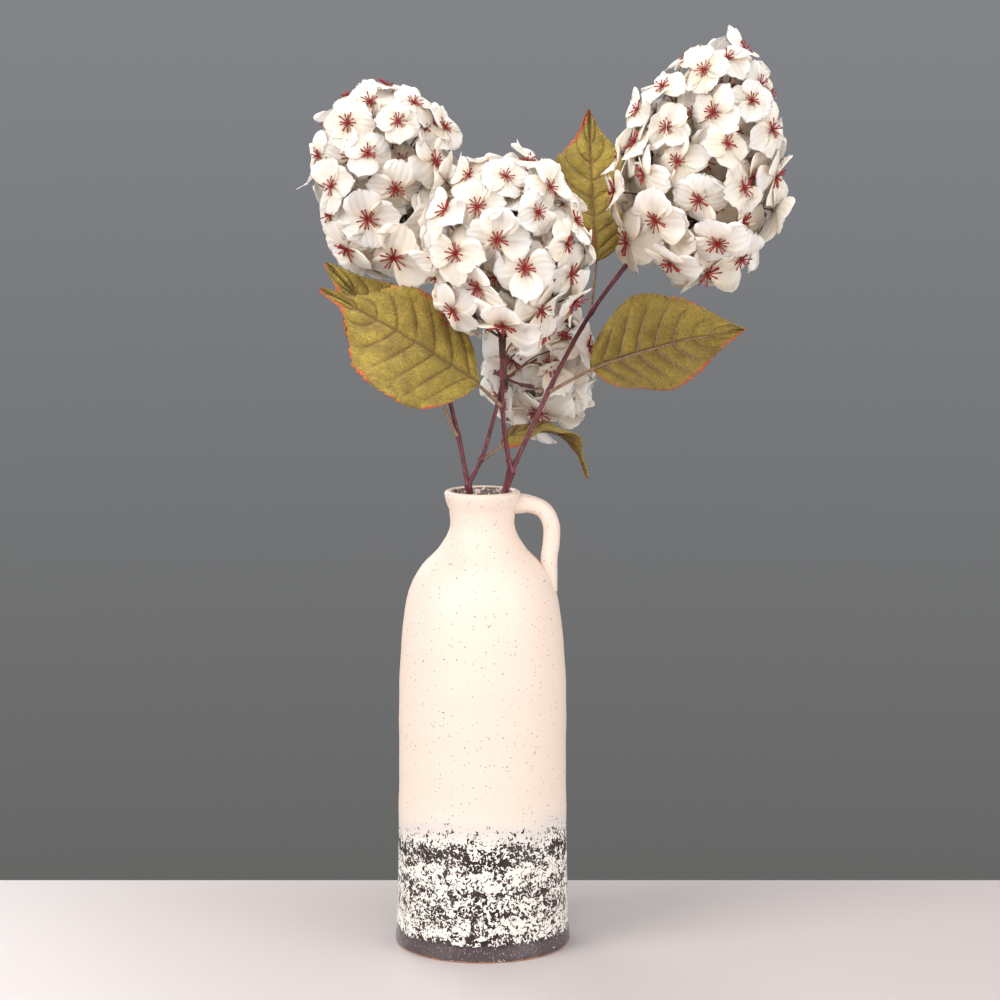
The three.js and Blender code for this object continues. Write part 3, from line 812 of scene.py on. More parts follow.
@dataclass(frozen=True)
class PetalCloth(Finish):
    """Polyester cloth, die-cut and heat-pressed: a matt cream white, warmer at the heart, where painted shade
    deepens it, and tan on the back as painted shade.

    The press leaves fine pleats that run out to the margin. The real weave is about 0.2 mm, too fine
    to show, so it is drawn at 0.6 mm.
    """

    name: str = "pressed_polyester_petals"
    roughness: float = 0.78
    sheen: float = 0.25
    glow: float = 0.65
    glow_depth: float = 4.0
    pleats: float = 5.5
    pleat_depth: float = 0.5  # mm
    weave: float = 0.6  # mm from thread to thread
    weave_depth: float = 0.08  # mm
    mottle: float = 9.0  # mm across a patch of warmer dye
    back_shade: float = 0.65  # how far the back takes the painted shade's tan

    def paint(self, add: NodeAdder) -> Inputs:
        """Adds the dye, painted shade at the heart and on the back, the pleats and the weave."""
        place = add("TexCoord").node.outputs
        out, tone, back = (
            add("Attribute", attribute_name=name, out="Fac") for name in ("out", "tone", "back")
        )
        # The heart's stops are a warmer cream, deepened into tan as painted shade where the petals meet.
        fade = ((0.0, "#e6cba2"), (0.2, "#faead6"), (0.5, "#fff7ee"), (1.0, "#fffcf7"))
        heart_cream_and_shade = add("ValToRGB", {"Fac": out}, fade)
        patches = add("TexNoise", {"Vector": place["Object"], "Scale": per(self.mottle), "Detail": 2.0})
        stain = add("Math", {0: patches, 1: tone}, operation="MULTIPLY")
        warm = add("MapRange", {"Value": stain, "From Min": 0.18, "From Max": 0.62, "To Max": 0.75})
        dyed_with_heart_shade = add("Mix", {0: warm, 6: heart_cream_and_shade, 7: linear("#f0d9b6")}, data_type="RGBA", out=2)
        # Painted shade: the petal backs are mixed towards tan #f3e0c6.
        behind = add("Math", {0: back, 1: self.back_shade}, operation="MULTIPLY")
        wave = {"Scale": self.pleats / math.tau, "Distortion": 1.5, "Detail": 2.0, "Detail Scale": 1.5}
        pleated = add(
            "TexWave", {"Vector": place["UV"]} | wave, wave_type="BANDS", bands_direction="Y", out="Fac"
        )
        pressed = add("Bump", {"Height": pleated, "Strength": 0.5, "Distance": self.pleat_depth * MM})
        threads = woven(add, place["Object"], self.weave, 0.6)
        fine = {"Height": threads, "Strength": 0.25, "Distance": self.weave_depth * MM, "Normal": pressed}
        return {
            # The backs' painted shade is mixed in here.
            "Base Color": add("Mix", {0: behind, 6: dyed_with_heart_shade, 7: linear("#f3e0c6")}, data_type="RGBA", out=2),
            "Normal": add("Bump", fine),
        }


@dataclass(frozen=True)
class LeafCloth(Finish):
    """Printed polyester leaf cloth: mustard olive with darker veins and a red-orange margin.

    The real weave is about 0.25 mm, too fine to show, so it is drawn at 0.7 mm.
    """

    name: str = "printed_polyester_leaf"
    roughness: float = 0.72
    sheen: float = 0.12
    weave: float = 0.7  # mm from thread to thread
    weave_depth: float = 0.1  # mm
    mottle: float = 11.0  # mm across a patch of print
    fray: float = 2.2  # mm across the uneven edge of the red print
    crease_depth: float = 1.6  # mm
    veinlet: float = 5.0  # mm across a mesh of the fine veins
    veinlet_depth: float = 0.3  # mm

    def paint(self, add: NodeAdder) -> Inputs:
        """Adds the print, the veins, the red margin, painted shade in the crease valleys and the weave."""
        place = add("TexCoord", out="Object")
        margin, vein, back = (
            add("Attribute", attribute_name=name, out="Fac") for name in ("margin", "vein", "back")
        )
        patches = add("TexNoise", {"Vector": place, "Scale": per(self.mottle), "Detail": 5.0})
        colour = add("ValToRGB", {"Fac": patches}, ((0.28, "#7d6420"), (0.5, "#98802a"), (0.72, "#b09638")))
        cell = {"Vector": place, "Scale": per(self.veinlet)}
        mesh_of_veins = add("TexVoronoi", cell, feature="DISTANCE_TO_EDGE", out="Distance")
        veinlets = add("MapRange", {"Value": mesh_of_veins, "From Max": 0.12, "To Min": 1.0, "To Max": 0.0})
        rough = {"Vector": place, "Scale": per(self.fray), "Detail": 3.0, "Distortion": 1.4}
        frayed = add("TexNoise", rough)
        # Painted shade: the low places of the crease noise are darkened towards #5f4b15.
        deep = {"From Min": 0.36, "From Max": 0.5, "To Min": 0.3, "To Max": 0.0}
        wavering = add("TexNoise", {"Vector": place, "Scale": per(2 * self.mottle)})
        level = add("Math", {0: wavering, 1: 2.6, 2: margin}, operation="MULTIPLY_ADD")
        edge = add("Math", {0: frayed, 1: 0.9, 2: level}, operation="MULTIPLY_ADD")
        prints_and_crease_shade = (
            (add("Math", {0: vein, 1: 0.9}, operation="MULTIPLY"), "#6b4f1f"),
            (add("Math", {0: veinlets, 1: 0.3}, operation="MULTIPLY"), "#6f5c1c"),
            # painted shade in the crease valleys
            (add("MapRange", {"Value": frayed} | deep), "#5f4b15"),
            (add("Math", {0: back, 1: 0.35}, operation="MULTIPLY"), "#8c7430"),
            (add("MapRange", {"Value": edge, "From Min": 2.52, "From Max": 2.8, "To Max": 0.9}), "#c4522a"),
        )
        for share, layer_colour in prints_and_crease_shade:
            colour = add("Mix", {0: share, 6: colour, 7: linear(layer_colour)}, data_type="RGBA", out=2)
        threads = woven(add, place, self.weave, 0.5)
        cloth = add("Bump", {"Height": threads, "Strength": 0.3, "Distance": self.weave_depth * MM})
        crease = {"Height": frayed, "Strength": 1.0, "Distance": self.crease_depth * MM, "Normal": cloth}
        creased = add("Bump", crease)
        emboss = {"Height": veinlets, "Strength": 0.45, "Distance": self.veinlet_depth * MM}
        return {"Base Color": colour, "Normal": add("Bump", emboss | {"Normal": creased}, invert=True)}


@dataclass(frozen=True)
class LacqueredTable(Finish):
    """A pale lacquered table top, nearly plain, with a faint cloudiness in its gloss."""

    name: str = "lacquered_table"
    roughness: float = 0.34
    dull_roughness: float = 0.5
    colour: str = "#c5bbb8"
    cloud: float = 160.0  # mm across a cloudy patch

    def paint(self, add: NodeAdder) -> Inputs:
        """Sets the colour and adds the cloudiness."""
        clouds = add("TexNoise", {"Vector": add("TexCoord", out="Object"), "Scale": per(self.cloud)})
        gloss = {"Value": clouds, "To Min": self.roughness, "To Max": self.dull_roughness}
        return {"Base Color": linear(self.colour), "Roughness": add("MapRange", gloss)}


class Finishes:
    """Every finish of the object, built once."""

    def __init__(self) -> None:
        """Builds the materials."""
        self.glaze = GlazedStoneware().material()
        self.stem = MottledPlastic().material()
        self.wire = MottledPlastic(
            name="coated_flower_wire",
            roughness=0.45,
            deep="#3f211c",
            bright="#7a4334",
            scuff="#a5745c",
            grain=1.0,
        ).material()
        self.binding = MottledPlastic(
            name="bound_florist_tape",
            roughness=0.6,
            deep="#2a1815",
            bright="#5a3428",
            scuff="#8a6a50",
            scuff_share=0.62,
            grain=0.8,
        ).material()
        self.stamen = MottledPlastic(
            name="moulded_red_stamens",
            roughness=0.36,
            deep="#6a1012",
            bright="#a82420",
            scuff="#c2483a",
            scuff_share=0.75,
            streak=3.0,
            grain=0.9,
            relief=0.05,
        ).material()
        self.rib = MottledPlastic(
            name="moulded_leaf_ribs",
            roughness=0.5,
            deep="#644a38",
            bright="#93765c",
            scuff="#b89f80",
            grain=1.2,
            relief=0.08,
        ).material()
        self.petal = PetalCloth().material()
        self.leaf = LeafCloth().material()


# ---- Vase -------------------------------------------------------------------------------------


@dataclass
class Vase:
    """The turned bottle with its pulled handle. Sizes in millimetres, heights from the base."""

    height: float = 301.0
    foot_radius: float = 57.8
    foot_roll: float = 2.0
    base_radius: float = 56.8
    base_height: float = 16.0
    body_radius: float = 53.9
    body_drop: float = 111.0
    shoulder_radius: float = 48.3
    shoulder_drop: float = 67.0
    neck_radius: float = 21.0
    neck_drop: float = 22.5
    lip_flare: float = 3.8
    lip_drop: float = 2.4
    wall: float = 5.0
    floor: float = 8.0
    sides: int = 192
    rings: int = 120
    handle_thickness: float = 11.0
    handle_width: float = 16.0
    finger_gap: float = 18.2
    handle_top_drop: float = 9.0
    handle_end_drop: float = 66.0
    handle_squareness: float = 0.78
    handle_bend: tuple[tuple[float, float], ...] = ((-5, -4), (0, -13), (0.2, -26))  # from reach and top
    handle_sides: int = 36
    handle_step: float = 1.4
    top_flare: float = 0.16  # how much wider the handle's ends spread where they are luted on
    low_flare: float = 0.04
    unevenness: float = 0.22  # of the thrown wall
    uneven_reach: float = 38.0
    throwing_share: float = 0.4  # of the unevenness, in rings left by the thrower's fingers
    throwing_pitch: float = 4.5
    groove_drop: float = 12.5  # the soft groove under the lip
    groove_depth: float = 0.7
    groove_reach: float = 2.6
    round_steps: int = 12  # of the foot, the lip and the hollow's corner
    crease_angle: float = 50.0

    def __post_init__(self) -> None:
        """Works out the curve of the outside."""
        self.lip_radius = self.neck_radius + self.lip_flare
        self.lip_height = self.height - self.lip_drop
        self.mouth_radius = self.lip_radius - self.wall
        neck = self.height - self.neck_drop
        shoulder = self.height - self.shoulder_drop
        body = self.height - self.body_drop

        def slope(share: float, drop: float) -> tuple[float, float]:
            """Returns a point of the slope between the neck and the shoulder."""
            return mix(self.neck_radius, self.shoulder_radius, share), mix(shoulder, neck, drop)

        points = (
            (self.foot_radius, self.foot_roll),
            (self.base_radius, self.base_height),
            (mix(self.base_radius, self.body_radius, 0.6), (self.base_height + body) / 2),
            (self.body_radius, body),
            (self.shoulder_radius, shoulder),
            slope(0.71, 0.37),
            slope(0.25, 0.67),
            (self.neck_radius, neck),
            (self.lip_radius, self.lip_height),
        )
        self.outside = Route([Vector((radius, 0, height)) for radius, height in points])

    def inset(self, depth: float) -> list[tuple[float, float]]:
        """Returns rings of the outside moved into the wall by a depth."""
        rings = []
        for distance in self.outside.walk(0, self.outside.length, self.outside.length / self.rings):
            point = self.outside.at(distance)
            heading = self.outside.heading(distance)
            rings.append((point.x - depth * heading.z, point.z + depth * heading.x))
        return rings

    def hollow_radius(self, height: float) -> float:
        """Returns the radius of the hollow at a height."""
        return next(radius for radius, ring in self.inset(self.wall) if ring > height)

    def profile(self) -> list[tuple[float, float]]:
        """Returns the whole wall as one line from the axis below to the axis inside."""
        arc = [math.pi * step / self.round_steps for step in range(1, self.round_steps)]
        foot = [
            (
                self.foot_radius - self.foot_roll * (1 - math.sin(angle / 2)),
                self.foot_roll * (1 - math.cos(angle / 2)),
            )
            for angle in arc
        ]
        lip = [
            (
                self.lip_radius - self.wall / 2 * (1 - math.cos(angle)),
                self.lip_height + self.lip_drop * math.sin(angle),
            )
            for angle in arc
        ]
        corner = self.floor + self.wall
        hollow = [ring for ring in self.inset(self.wall) if corner < ring[1] < self.lip_height - 0.5]
        side = hollow[0][0]
        fillet = [
            (side - self.wall * (1 - math.cos(angle / 2)), corner - self.wall * math.sin(angle / 2))
            for angle in arc
        ]
        inner = [(side * share, self.floor) for share in (0.85, 0.6, 0.3)]
        return [
            (0, 0),
            (self.foot_radius * 0.5, 0),
            (self.foot_radius - self.foot_roll * 2, 0),
            *foot,
            *self.inset(0),
            *lip,
            (self.mouth_radius, self.lip_height),
            *reversed(hollow),
            *fillet,
            *inner,
            (0, self.floor),
        ]

    def handle(self) -> bpy.types.Mesh:
        """Returns the handle as a closed bar with flared ends."""
        reach = self.neck_radius + self.finger_gap + self.handle_thickness / 2
        top = self.height - self.handle_top_drop
        end = self.height - self.handle_end_drop
        points = (
            (self.lip_radius - self.wall, top),
            ((self.lip_radius + reach) / 2 - self.wall, top),
            *((reach + out, top + up) for out, up in self.handle_bend),
            (reach - 1, (top + end) / 2 - 6),
            (self.shoulder_radius - self.wall, end),
        )
        route = Route([Vector((x, 0, z)) for x, z in points])
        vertices = []
        walk = route.walk(0, route.length, self.handle_step)
        for distance in walk:
            heading = route.heading(distance)
            outward = Vector((0, 1, 0)).cross(heading)
            start = max(distance - self.wall, 0)
            finish = max(route.length - 2 * self.wall - distance, 0)
            flare = 1 + self.top_flare * bump(start, 5) + self.low_flare * bump(finish, 6)
            for side in range(self.handle_sides):
                angle = math.tau * side / self.handle_sides
                depth, width = (
                    math.copysign(abs(part) ** self.handle_squareness, part)
                    for part in (math.cos(angle), math.sin(angle))
                )
                vertices.append(
                    route.at(distance)
                    + outward * (depth * flare * self.handle_thickness / 2)
                    + Vector((0, width * flare * self.handle_width / 2, 0))
                )
        faces: list[tuple[int, ...]] = []
        for row in range(len(walk) - 1):
            for side in range(self.handle_sides):
                after = (side + 1) % self.handle_sides
                low, high = row * self.handle_sides, (row + 1) * self.handle_sides
                faces.append((low + side, high + side, high + after, low + after))
        last = (len(walk) - 1) * self.handle_sides
        faces.append(tuple(range(self.handle_sides)))
        faces.append(tuple(last + side for side in reversed(range(self.handle_sides))))
        mesh = bpy.data.meshes.new("handle")
        mesh.from_pydata(vertices, [], faces)
        return mesh

    def plug(self) -> bpy.types.Mesh:
        """Returns the solid inside the middle of the wall, which the handle stops at."""
        rings = [ring for ring in self.inset(self.wall / 2) if ring[1] > self.wall]
        top = self.height + self.wall
        outline = [(0, rings[0][1]), *rings, (rings[-1][0], top), (0, top)]
        return turned_mesh("plug", outline, self.sides)

    def build(self, place: Place, finishes: Finishes) -> None:
        """Makes the glazed vase.

        Args:
            place: Where the mouth is.
            finishes: The finishes to dress it in.
        """
        body = turned_mesh("body", self.profile(), self.sides)
        for vertex in body.vertices:
            reach = Vector((vertex.co.x, vertex.co.y, 0))
            if 0 < vertex.co.z < self.height - self.wall and reach.length > self.wall:
                ring = self.throwing_share * math.sin(vertex.co.z / self.throwing_pitch)
                wander = noise.noise(vertex.co / self.uneven_reach) + ring
                below = self.height - self.groove_drop - vertex.co.z
                outer = reach.length > self.neck_radius - 1
                groove = self.groove_depth * bump(below, self.groove_reach) * outer
                vertex.co += reach.normalized() * (wander * self.unevenness - groove)
        handle = cut_or_joined(self.handle(), self.plug(), "DIFFERENCE")
        mesh = cut_or_joined(body, handle, "UNION")
        mesh.polygons.foreach_set("use_smooth", [True] * len(mesh.polygons))
        mesh.set_sharp_from_angle(angle=math.radians(self.crease_angle))
        place.settle(mesh, self.height)
        add_piece("glazed_vase", mesh, finishes.glaze, Slot.GLAZE, ["vase"])


# ---- Stems ------------------------------------------------------------------------------------


@dataclass(frozen=True)
class Branch:
    """A branch from a main stem's fork up to its crown, in millimetres from the mouth."""

    name: str
    radius: float
    route: tuple[tuple[float, float, float], ...]


@dataclass(frozen=True)
class MainStem:
    """A main stem: where it leans inside the vase, where it forks, and its branches."""

    name: str
    radius: float
    foot_bearing: float
    foot_gap: float
    neck_bearing: float
    neck_gap: float
    mouth_gap: float
    fork: tuple[float, float, float]
    branches: tuple[Branch, ...]


MAIN_STEMS = (
    MainStem(
        name="right",
        radius=2.35,
        foot_bearing=189,
        foot_gap=11,
        neck_bearing=-24,
        neck_gap=1.3,
        mouth_gap=1.6,
        fork=(18.6, -6, 12.5),
        branches=(
            Branch("center", 1.6, ((15.5, -10, 32), (13, -14, 55), (13, -26, 101))),
            Branch("right", 1.6, ((32, -3, 41), (51, 2, 81), (73, 6, 119), (114, 12, 171))),
        ),
    ),
    MainStem(
        name="left",
        radius=2.0,
        foot_bearing=10,
        foot_gap=18,
        neck_bearing=139,
        neck_gap=5.8,
        mouth_gap=8,
        fork=(-9.4, 5, 2.5),
        branches=(
            Branch("left", 1.5, ((-16, 12, 35), (-30, 24, 86), (-51, 36, 142))),
            Branch("lower", 1.5, ((0, 12, 21), (8, 20, 47), (15, 28, 70))),
        ),
    ),
)


@dataclass
class Stems:
    """The plastic-coated wire stems with their forks, sockets and nubs."""

    vase: Vase
    wires: WireTree
    step: float = 1.6
    sides: int = 14
    seat: float = 1.0  # a stem's foot above the vase's floor
    socket: float = 8.0  # from the fork to the ring where a branch plugs in
    nub_spacing: float = 23.0
    nub_height: float = 0.16
    nub_reach: tuple[float, float] = (1.0, 1.8)
    roughness: float = 0.05  # how far the radius strays, as a share of it
    taper: float = 0.9  # the share of a branch's radius left at its end
    fork_swell: tuple[float, float] = (0.3, 3.5)  # as a share of the radius, and its reach
    socket_swell: tuple[float, float] = (0.28, 1.3)
    leaf_swell: tuple[float, float] = (0.35, 2.2)
    seed: int = 5

    def __post_init__(self) -> None:
        """Lays every branch's route."""
        self.routes = {
            branch.name: Route([Vector(main.fork), *(Vector(point) for point in branch.route)])
            for main in MAIN_STEMS
            for branch in main.branches
        }
        self.radii = {branch.name: branch.radius for main in MAIN_STEMS for branch in main.branches}

    def main_route(self, main: MainStem) -> Route:
        """Returns a main stem's line from its foot through the neck and the mouth to its fork."""

        def polar(radius: float, bearing: float, height: float) -> Vector:
            """Returns the point at a bearing in degrees and a height over the vase's base."""
            angle = math.radians(bearing)
            return Vector((radius * math.cos(angle), radius * math.sin(angle), height - vase.height))

        vase = self.vase
        neck = vase.height - vase.neck_drop
        foot = vase.hollow_radius(vase.floor + 2 * vase.wall) - main.foot_gap - main.radius
        fork = Vector(main.fork)
        leaving = math.degrees(math.atan2(fork.y, fork.x))
        return Route(
            [
                polar(foot, main.foot_bearing, vase.floor + self.seat),
                polar(vase.hollow_radius(neck) - main.neck_gap - main.radius, main.neck_bearing, neck),
                polar(vase.mouth_radius - main.mouth_gap - main.radius, leaving, vase.height),
                fork,
            ]
        )

    def line(self, route: Route, radius: float, taper: float, swells: Sequence[tuple]) -> Polyline:
        """Returns a stem's points and radii.

        Args:
            route: The stem's line.
            radius: Its radius at the start.
            taper: The share of the radius left at its end.
            swells: Where it is thicker, how much and over what reach.

        Returns:
            The points with a radius for each.
        """
        walk = route.walk(0, route.length, self.step)
        radii = []
        for distance in walk:
            point = route.at(distance)
            swell = 1 + sum(gain * bump(distance - at, reach) for at, gain, reach in swells)
            stray = 1 + self.roughness * noise.noise(point / 7)
            radii.append(radius * mix(1, taper, distance / route.length) * stray * swell)
        return [route.at(distance) for distance in walk], radii

    def nubs(self, length: float, chance: random.Random) -> list[tuple[float, float, float]]:
        """Returns swells at uneven distances along a stem."""
        swells = []
        at = self.nub_spacing * chance.uniform(0.5, 1.2)
        while at < length:
            swells.append((at, self.nub_height * chance.uniform(0.5, 1.4), chance.uniform(*self.nub_reach)))
            at += self.nub_spacing * chance.uniform(0.6, 1.4)
        return swells

    def build(self, place: Place, finishes: Finishes) -> None:
        """Makes one piece of each main stem and its branches.

        Args:
            place: Where the mouth is.
            finishes: The finishes to dress them in.
        """
        chance = random.Random(self.seed)
        for main in MAIN_STEMS:
            trunk = self.main_route(main)
            swells = [(trunk.length, *self.fork_swell), *self.nubs(trunk.length, chance)]
            lines = [self.line(trunk, main.radius, 1, swells)]
            for branch in main.branches:
                route = self.routes[branch.name]
                root = (0, main.radius / branch.radius - 1, self.socket / 2)
                leaves = [leaf.along * route.length for leaf in LEAVES if leaf.branch == branch.name]
                swells = [root, (self.socket, *self.socket_swell)]
                swells += [(at, *self.leaf_swell) for at in leaves]
                swells += self.nubs(route.length, chance)
                lines.append(self.line(route, branch.radius, self.taper, swells))
            mesh = self.wires.run(
                "stem_" + main.name, line_mesh(lines), Sides=self.sides, Material=finishes.stem
            )
            nodes = [f"stem_{main.name}_main", *(f"branch_{branch.name}" for branch in main.branches)]
            add_piece("stem_" + main.name, place.settle(mesh), finishes.stem, Slot.STEM, nodes)


# ---- Leaves -----------------------------------------------------------------------------------


@dataclass
class Leaf:
    """A printed cloth leaf with its moulded ribs. Points are in millimetres from the mouth."""

    name: str
    branch: str
    along: float  # the stalk's place along its branch
    base: tuple[float, float, float]
    heading: tuple[float, float, float]
    face: tuple[float, float, float]
    length: float
    width: float
    arch: float
    skew: float = 0.0  # how much wider one half is than the mean
    wave: float = 2.0  # how far the margin waves
    wave_turns: float = 2.4
    phase: float = 0.0
    lobe_bend: float = 0.0  # how far one lobe at the base bends away behind
    lobe_place: float = 0.12
    lobe_reach: float = 0.22
    belly: float = 0.84  # below 1, the widest place moves up the blade
    fullness: float = 0.82
    tip_taper: float = 0.18
    drip: float = 0.42  # how much the blade narrows into a long tip
    drip_place: float = 0.66
    drip_reach: float = 0.2
    least_share: float = 0.012  # of the width, left at the ends
    fold: float = 0.14
    thickness: float = 0.5
    rows: int = 150
    columns: int = 44
    teeth: int = 21
    tooth_depth: float = 0.05
    tooth_wander: float = 0.7  # of a tooth's length
    tooth_edge: int = 7  # the higher, the nearer to the margin the teeth begin
    tooth_uneven: tuple[float, float] = (0.6, 1.3)  # the least depth and what chance adds
    tooth_lean: float = 0.012  # forward, as a share of the length
    vein_step: float = 0.118  # from one side vein to the next along the midrib
    vein_lead: float = 0.2  # how far a side vein has run forward at the margin
    vein_bend: float = 1.25
    first_vein: float = 0.55  # of a step, from the base
    last_vein: float = 0.62  # of the length
    vein_reach: float = 0.75
    midrib_reach: tuple[float, float] = (1.3, 0.7)  # at the base and at the tip
    quilt: float = 1.5  # how far the blade swells between two veins
    vein_sink: float = 0.8
    crumple: float = 0.9
    red_reach: float = 3.4  # how far the red margin reaches in
    stalk_radius: float = 1.25
    rib_shares: tuple[float, ...] = (0.04, 0.2, 0.36, 0.5, 0.63, 0.76)
    rib_reach: float = 0.72
    rib_steps: int = 12
    rib_drop: float = 0.25  # from the blade's back to the ribs
    rib_sides: int = 8
    midrib_end: float = 0.35
    side_rib_radii: tuple[float, float] = (0.62, 0.22)
    stalk_step: float = 2.0
    stalk_flare: tuple[float, float] = (0.5, 2.5)  # at the branch, as a share of the radius, and its reach

    def __post_init__(self) -> None:
        """Works out the midrib and the way across."""
        base = Vector(self.base)
        heading = Vector(self.heading).normalized()
        self.side = Vector(self.face).cross(heading).normalized()
        face = heading.cross(self.side)
        tip = base + heading * self.length
        control = base.lerp(tip, 0.5) + face * (2 * self.arch)
        self.midrib = (base, control, tip)

    def half_width(self, t: float) -> float:
        """Returns the blade's half width at a share of its length."""
        t = min(max(t, 0.0), 1.0)
        belly = math.sin(math.pi * t**self.belly) ** self.fullness if 0 < t < 1 else 0
        narrow = 1 - self.drip * min(max((t - self.drip_place) / self.drip_reach, 0), 1)
        return max(belly * (1 - self.tip_taper * t) * narrow, self.least_share) * self.width / 2

    def lead(self, side: float) -> float:
        """Returns how far forward a side vein has run at a share across."""
        return self.vein_lead * side**self.vein_bend

    def veins_before(self, t: float, side: float) -> float:
        """Returns how many steps of side veins lie before a point."""
        return (t - self.lead(side)) / self.vein_step - self.first_vein

    def vein(self, t: float, s: float) -> float:
        """Returns how near a point is to a vein, from 0 to 1."""
        side = abs(s)
        origin = self.veins_before(t, side)
        nearest = max(round(origin), 0)
        apart = abs(origin - nearest) * self.vein_step * self.length
        small = bump(apart, self.vein_reach) * (1 - side**3)
        middle = bump(side * self.half_width(t), mix(*self.midrib_reach, t))
        return max(small, middle)

    def relief(self, t: float, s: float) -> float:
        """Returns how far the upper side stands above the plain folded blade."""
        side = abs(s)
        quilt = math.sin(math.pi * (self.veins_before(t, side) % 1)) * (1 - side**2) * min(side * 4, 1)
        margin = side**2 * self.wave * math.sin(math.tau * self.wave_turns * t + self.phase + s)
        lobe = max(0.0, -s) ** 1.5 * self.lobe_bend * bump(t - self.lobe_place, self.lobe_reach)
        spot = noise.noise(Vector((t * 6, s * 3, self.phase))) * self.crumple
        return self.quilt * quilt - self.vein_sink * self.vein(t, s) + margin - lobe + spot

    def surface(self, t: float, s: float, depth: float, teeth: bool = False) -> Vector:
        """Returns a point of the blade.

        Args:
            t: The share along the midrib.
            s: The share across, from -1 to 1.
            depth: How far below the upper side.
            teeth: Whether the margin has its teeth.

        Returns:
            The point in millimetres from the mouth.
        """
        base, control, tip = self.midrib
        heading = ((control - base) * (1 - t) + (tip - control) * t).normalized()
        normal = heading.cross(self.side)
        reach = s * (1 + self.skew * s) * self.half_width(t)
        forward = 0.0
        if teeth:
            place = t * self.teeth + self.tooth_wander * noise.noise(Vector((t * 7, s, self.phase)))
            tooth = place % 1
            edge = abs(s) ** self.tooth_edge
            least, gain = self.tooth_uneven
            uneven = least + gain * abs(noise.noise(Vector((t * 9, self.phase, 3 * s))))
            reach *= 1 + edge * self.tooth_depth * uneven * (tooth - 0.5)
            forward = edge * self.length * self.tooth_lean * tooth
        lift = abs(reach) * self.fold + self.relief(t, s) - depth
        return bezier(self.midrib, t) + heading * forward + self.side * reach + normal * lift

    def blade(self) -> bpy.types.Mesh:
        """Returns the blade as a thin closed sheet with its veins and margin marked."""

        def point(t: float, s: float, back: bool) -> Vector:
            """Returns a point of the blade's front or back."""
            return self.surface(t, s, self.thickness if back else 0, teeth=True)

        def margin(t: float, s: float, back: bool) -> float:
            """Returns how near the margin is, from 0 to about 1."""
            inset = min((1 - abs(s)) * self.half_width(t), (1 - t) * self.length * 0.5)
            return math.exp(-inset / self.red_reach) * mix(0.8, 1.0, t) * (1 + 0.3 * s)

        def vein(t: float, s: float, back: bool) -> float:
            """Returns how near a vein is, the same on both sides."""
            return self.vein(t, s)

        values = {"margin": margin, "vein": vein, "back": behind}
        return shell_mesh("leaf_" + self.name, self.rows, self.columns, point, values)

    def ribs(self, stems: Stems) -> list[Polyline]:
        """Returns the stalk with the midrib, and the side ribs, as lines with radii.

        Args:
            stems: The stems that carry the leaf.

        Returns:
            The lines.
        """
        under = self.thickness + self.rib_drop
        route = stems.routes[self.branch]
        at = self.along * route.length
        node = route.at(at)
        below = [self.surface(t, 0, under + mix(self.stalk_radius, 0.2, t)) for t in self.rib_shares]
        away = below[0] - node
        away -= route.heading(at) * away.dot(route.heading(at))
        node = node + away.normalized() * stems.radii[self.branch] * 0.6
        stalk = Route([node, *below])
        walk = stalk.walk(0, stalk.length, self.stalk_step)
        gain, reach = self.stalk_flare
        radii = [
            mix(self.stalk_radius, self.midrib_end, at / stalk.length) * (1 + gain * bump(at, reach))
            for at in walk
        ]
        lines = [([stalk.at(distance) for distance in walk], radii)]
        steps = [step / self.rib_steps for step in range(self.rib_steps + 1)]
        radii = [mix(*self.side_rib_radii, share) for share in steps]
        sides = [share * self.rib_reach for share in steps]
        for number in range(int(self.last_vein / self.vein_step)):
            start = (number + self.first_vein) * self.vein_step
            for hand in (-1, 1):
                points = [self.surface(start + self.lead(side), hand * side, under + 0.1) for side in sides]
                lines.append((points, radii))
        return lines

    def build(self, place: Place, finishes: Finishes, stems: Stems) -> None:
        """Makes the blade and the ribs.

        Args:
            place: Where the mouth is.
            finishes: The finishes to dress them in.
            stems: The stems that carry the leaf.
        """
        blade = place.settle(self.blade())
        add_piece(f"leaf_{self.name}", blade, finishes.leaf, Slot.LEAF, [f"leaf_{self.name}_blade"])
        name = f"leaf_ribs_{self.name}"
        ribs = stems.wires.run(name, line_mesh(self.ribs(stems)), Sides=self.rib_sides, Material=finishes.rib)
        add_piece(name, place.settle(ribs), finishes.rib, Slot.RIB, [f"leaf_{self.name}_rib"])


LEAVES = (
    Leaf(
        name="front_left",
        branch="center",
        along=0.5,
        base=(-1, -31, 73),
        heading=(-101, -7, 60),
        face=(0.23, -0.82, 0.52),
        length=118,
        width=88,
        skew=0.2,
        arch=4,
        wave=2.4,
        phase=0.4,
        lobe_bend=6,
        drip=0.66,
    ),
    Leaf(
        name="back_left",
        branch="left",
        along=0.22,
        base=(-26, 10, 59),
        heading=(-77, -14, 92),
        face=(0.2, -0.87, 0.45),
        length=117,
        width=66,
        arch=4,
        phase=1.9,
    ),
    Leaf(
        name="right",
        branch="right",
        along=0.31,
        base=(70, -7, 81),
        heading=(98, -13, 26),
        face=(0, 0.9, 0.43),
        length=103,
        width=78,
        arch=6,
        wave=2.6,
        phase=3.1,
    ),
    Leaf(
        name="tall",
        branch="right",
        along=0.62,
        base=(75, 33, 147),
        heading=(-4, 52, 97),
        face=(0.1, -0.86, 0.5),
        length=111,
        width=66,
        arch=-3,
        phase=4.4,
    ),
    Leaf(
        name="low",
        branch="lower",
        along=0.26,
        base=(12, 18, 29),
        heading=(58, 19, -26),
        face=(0.38, 0.12, 0.92),
        length=66,
        width=44,
        arch=21,
        wave=1.6,
        phase=5.2,
        lobe_bend=5,
        rows=96,
        teeth=15,
    ),
)


# ---- Flowers ----------------------------------------------------------------------------------


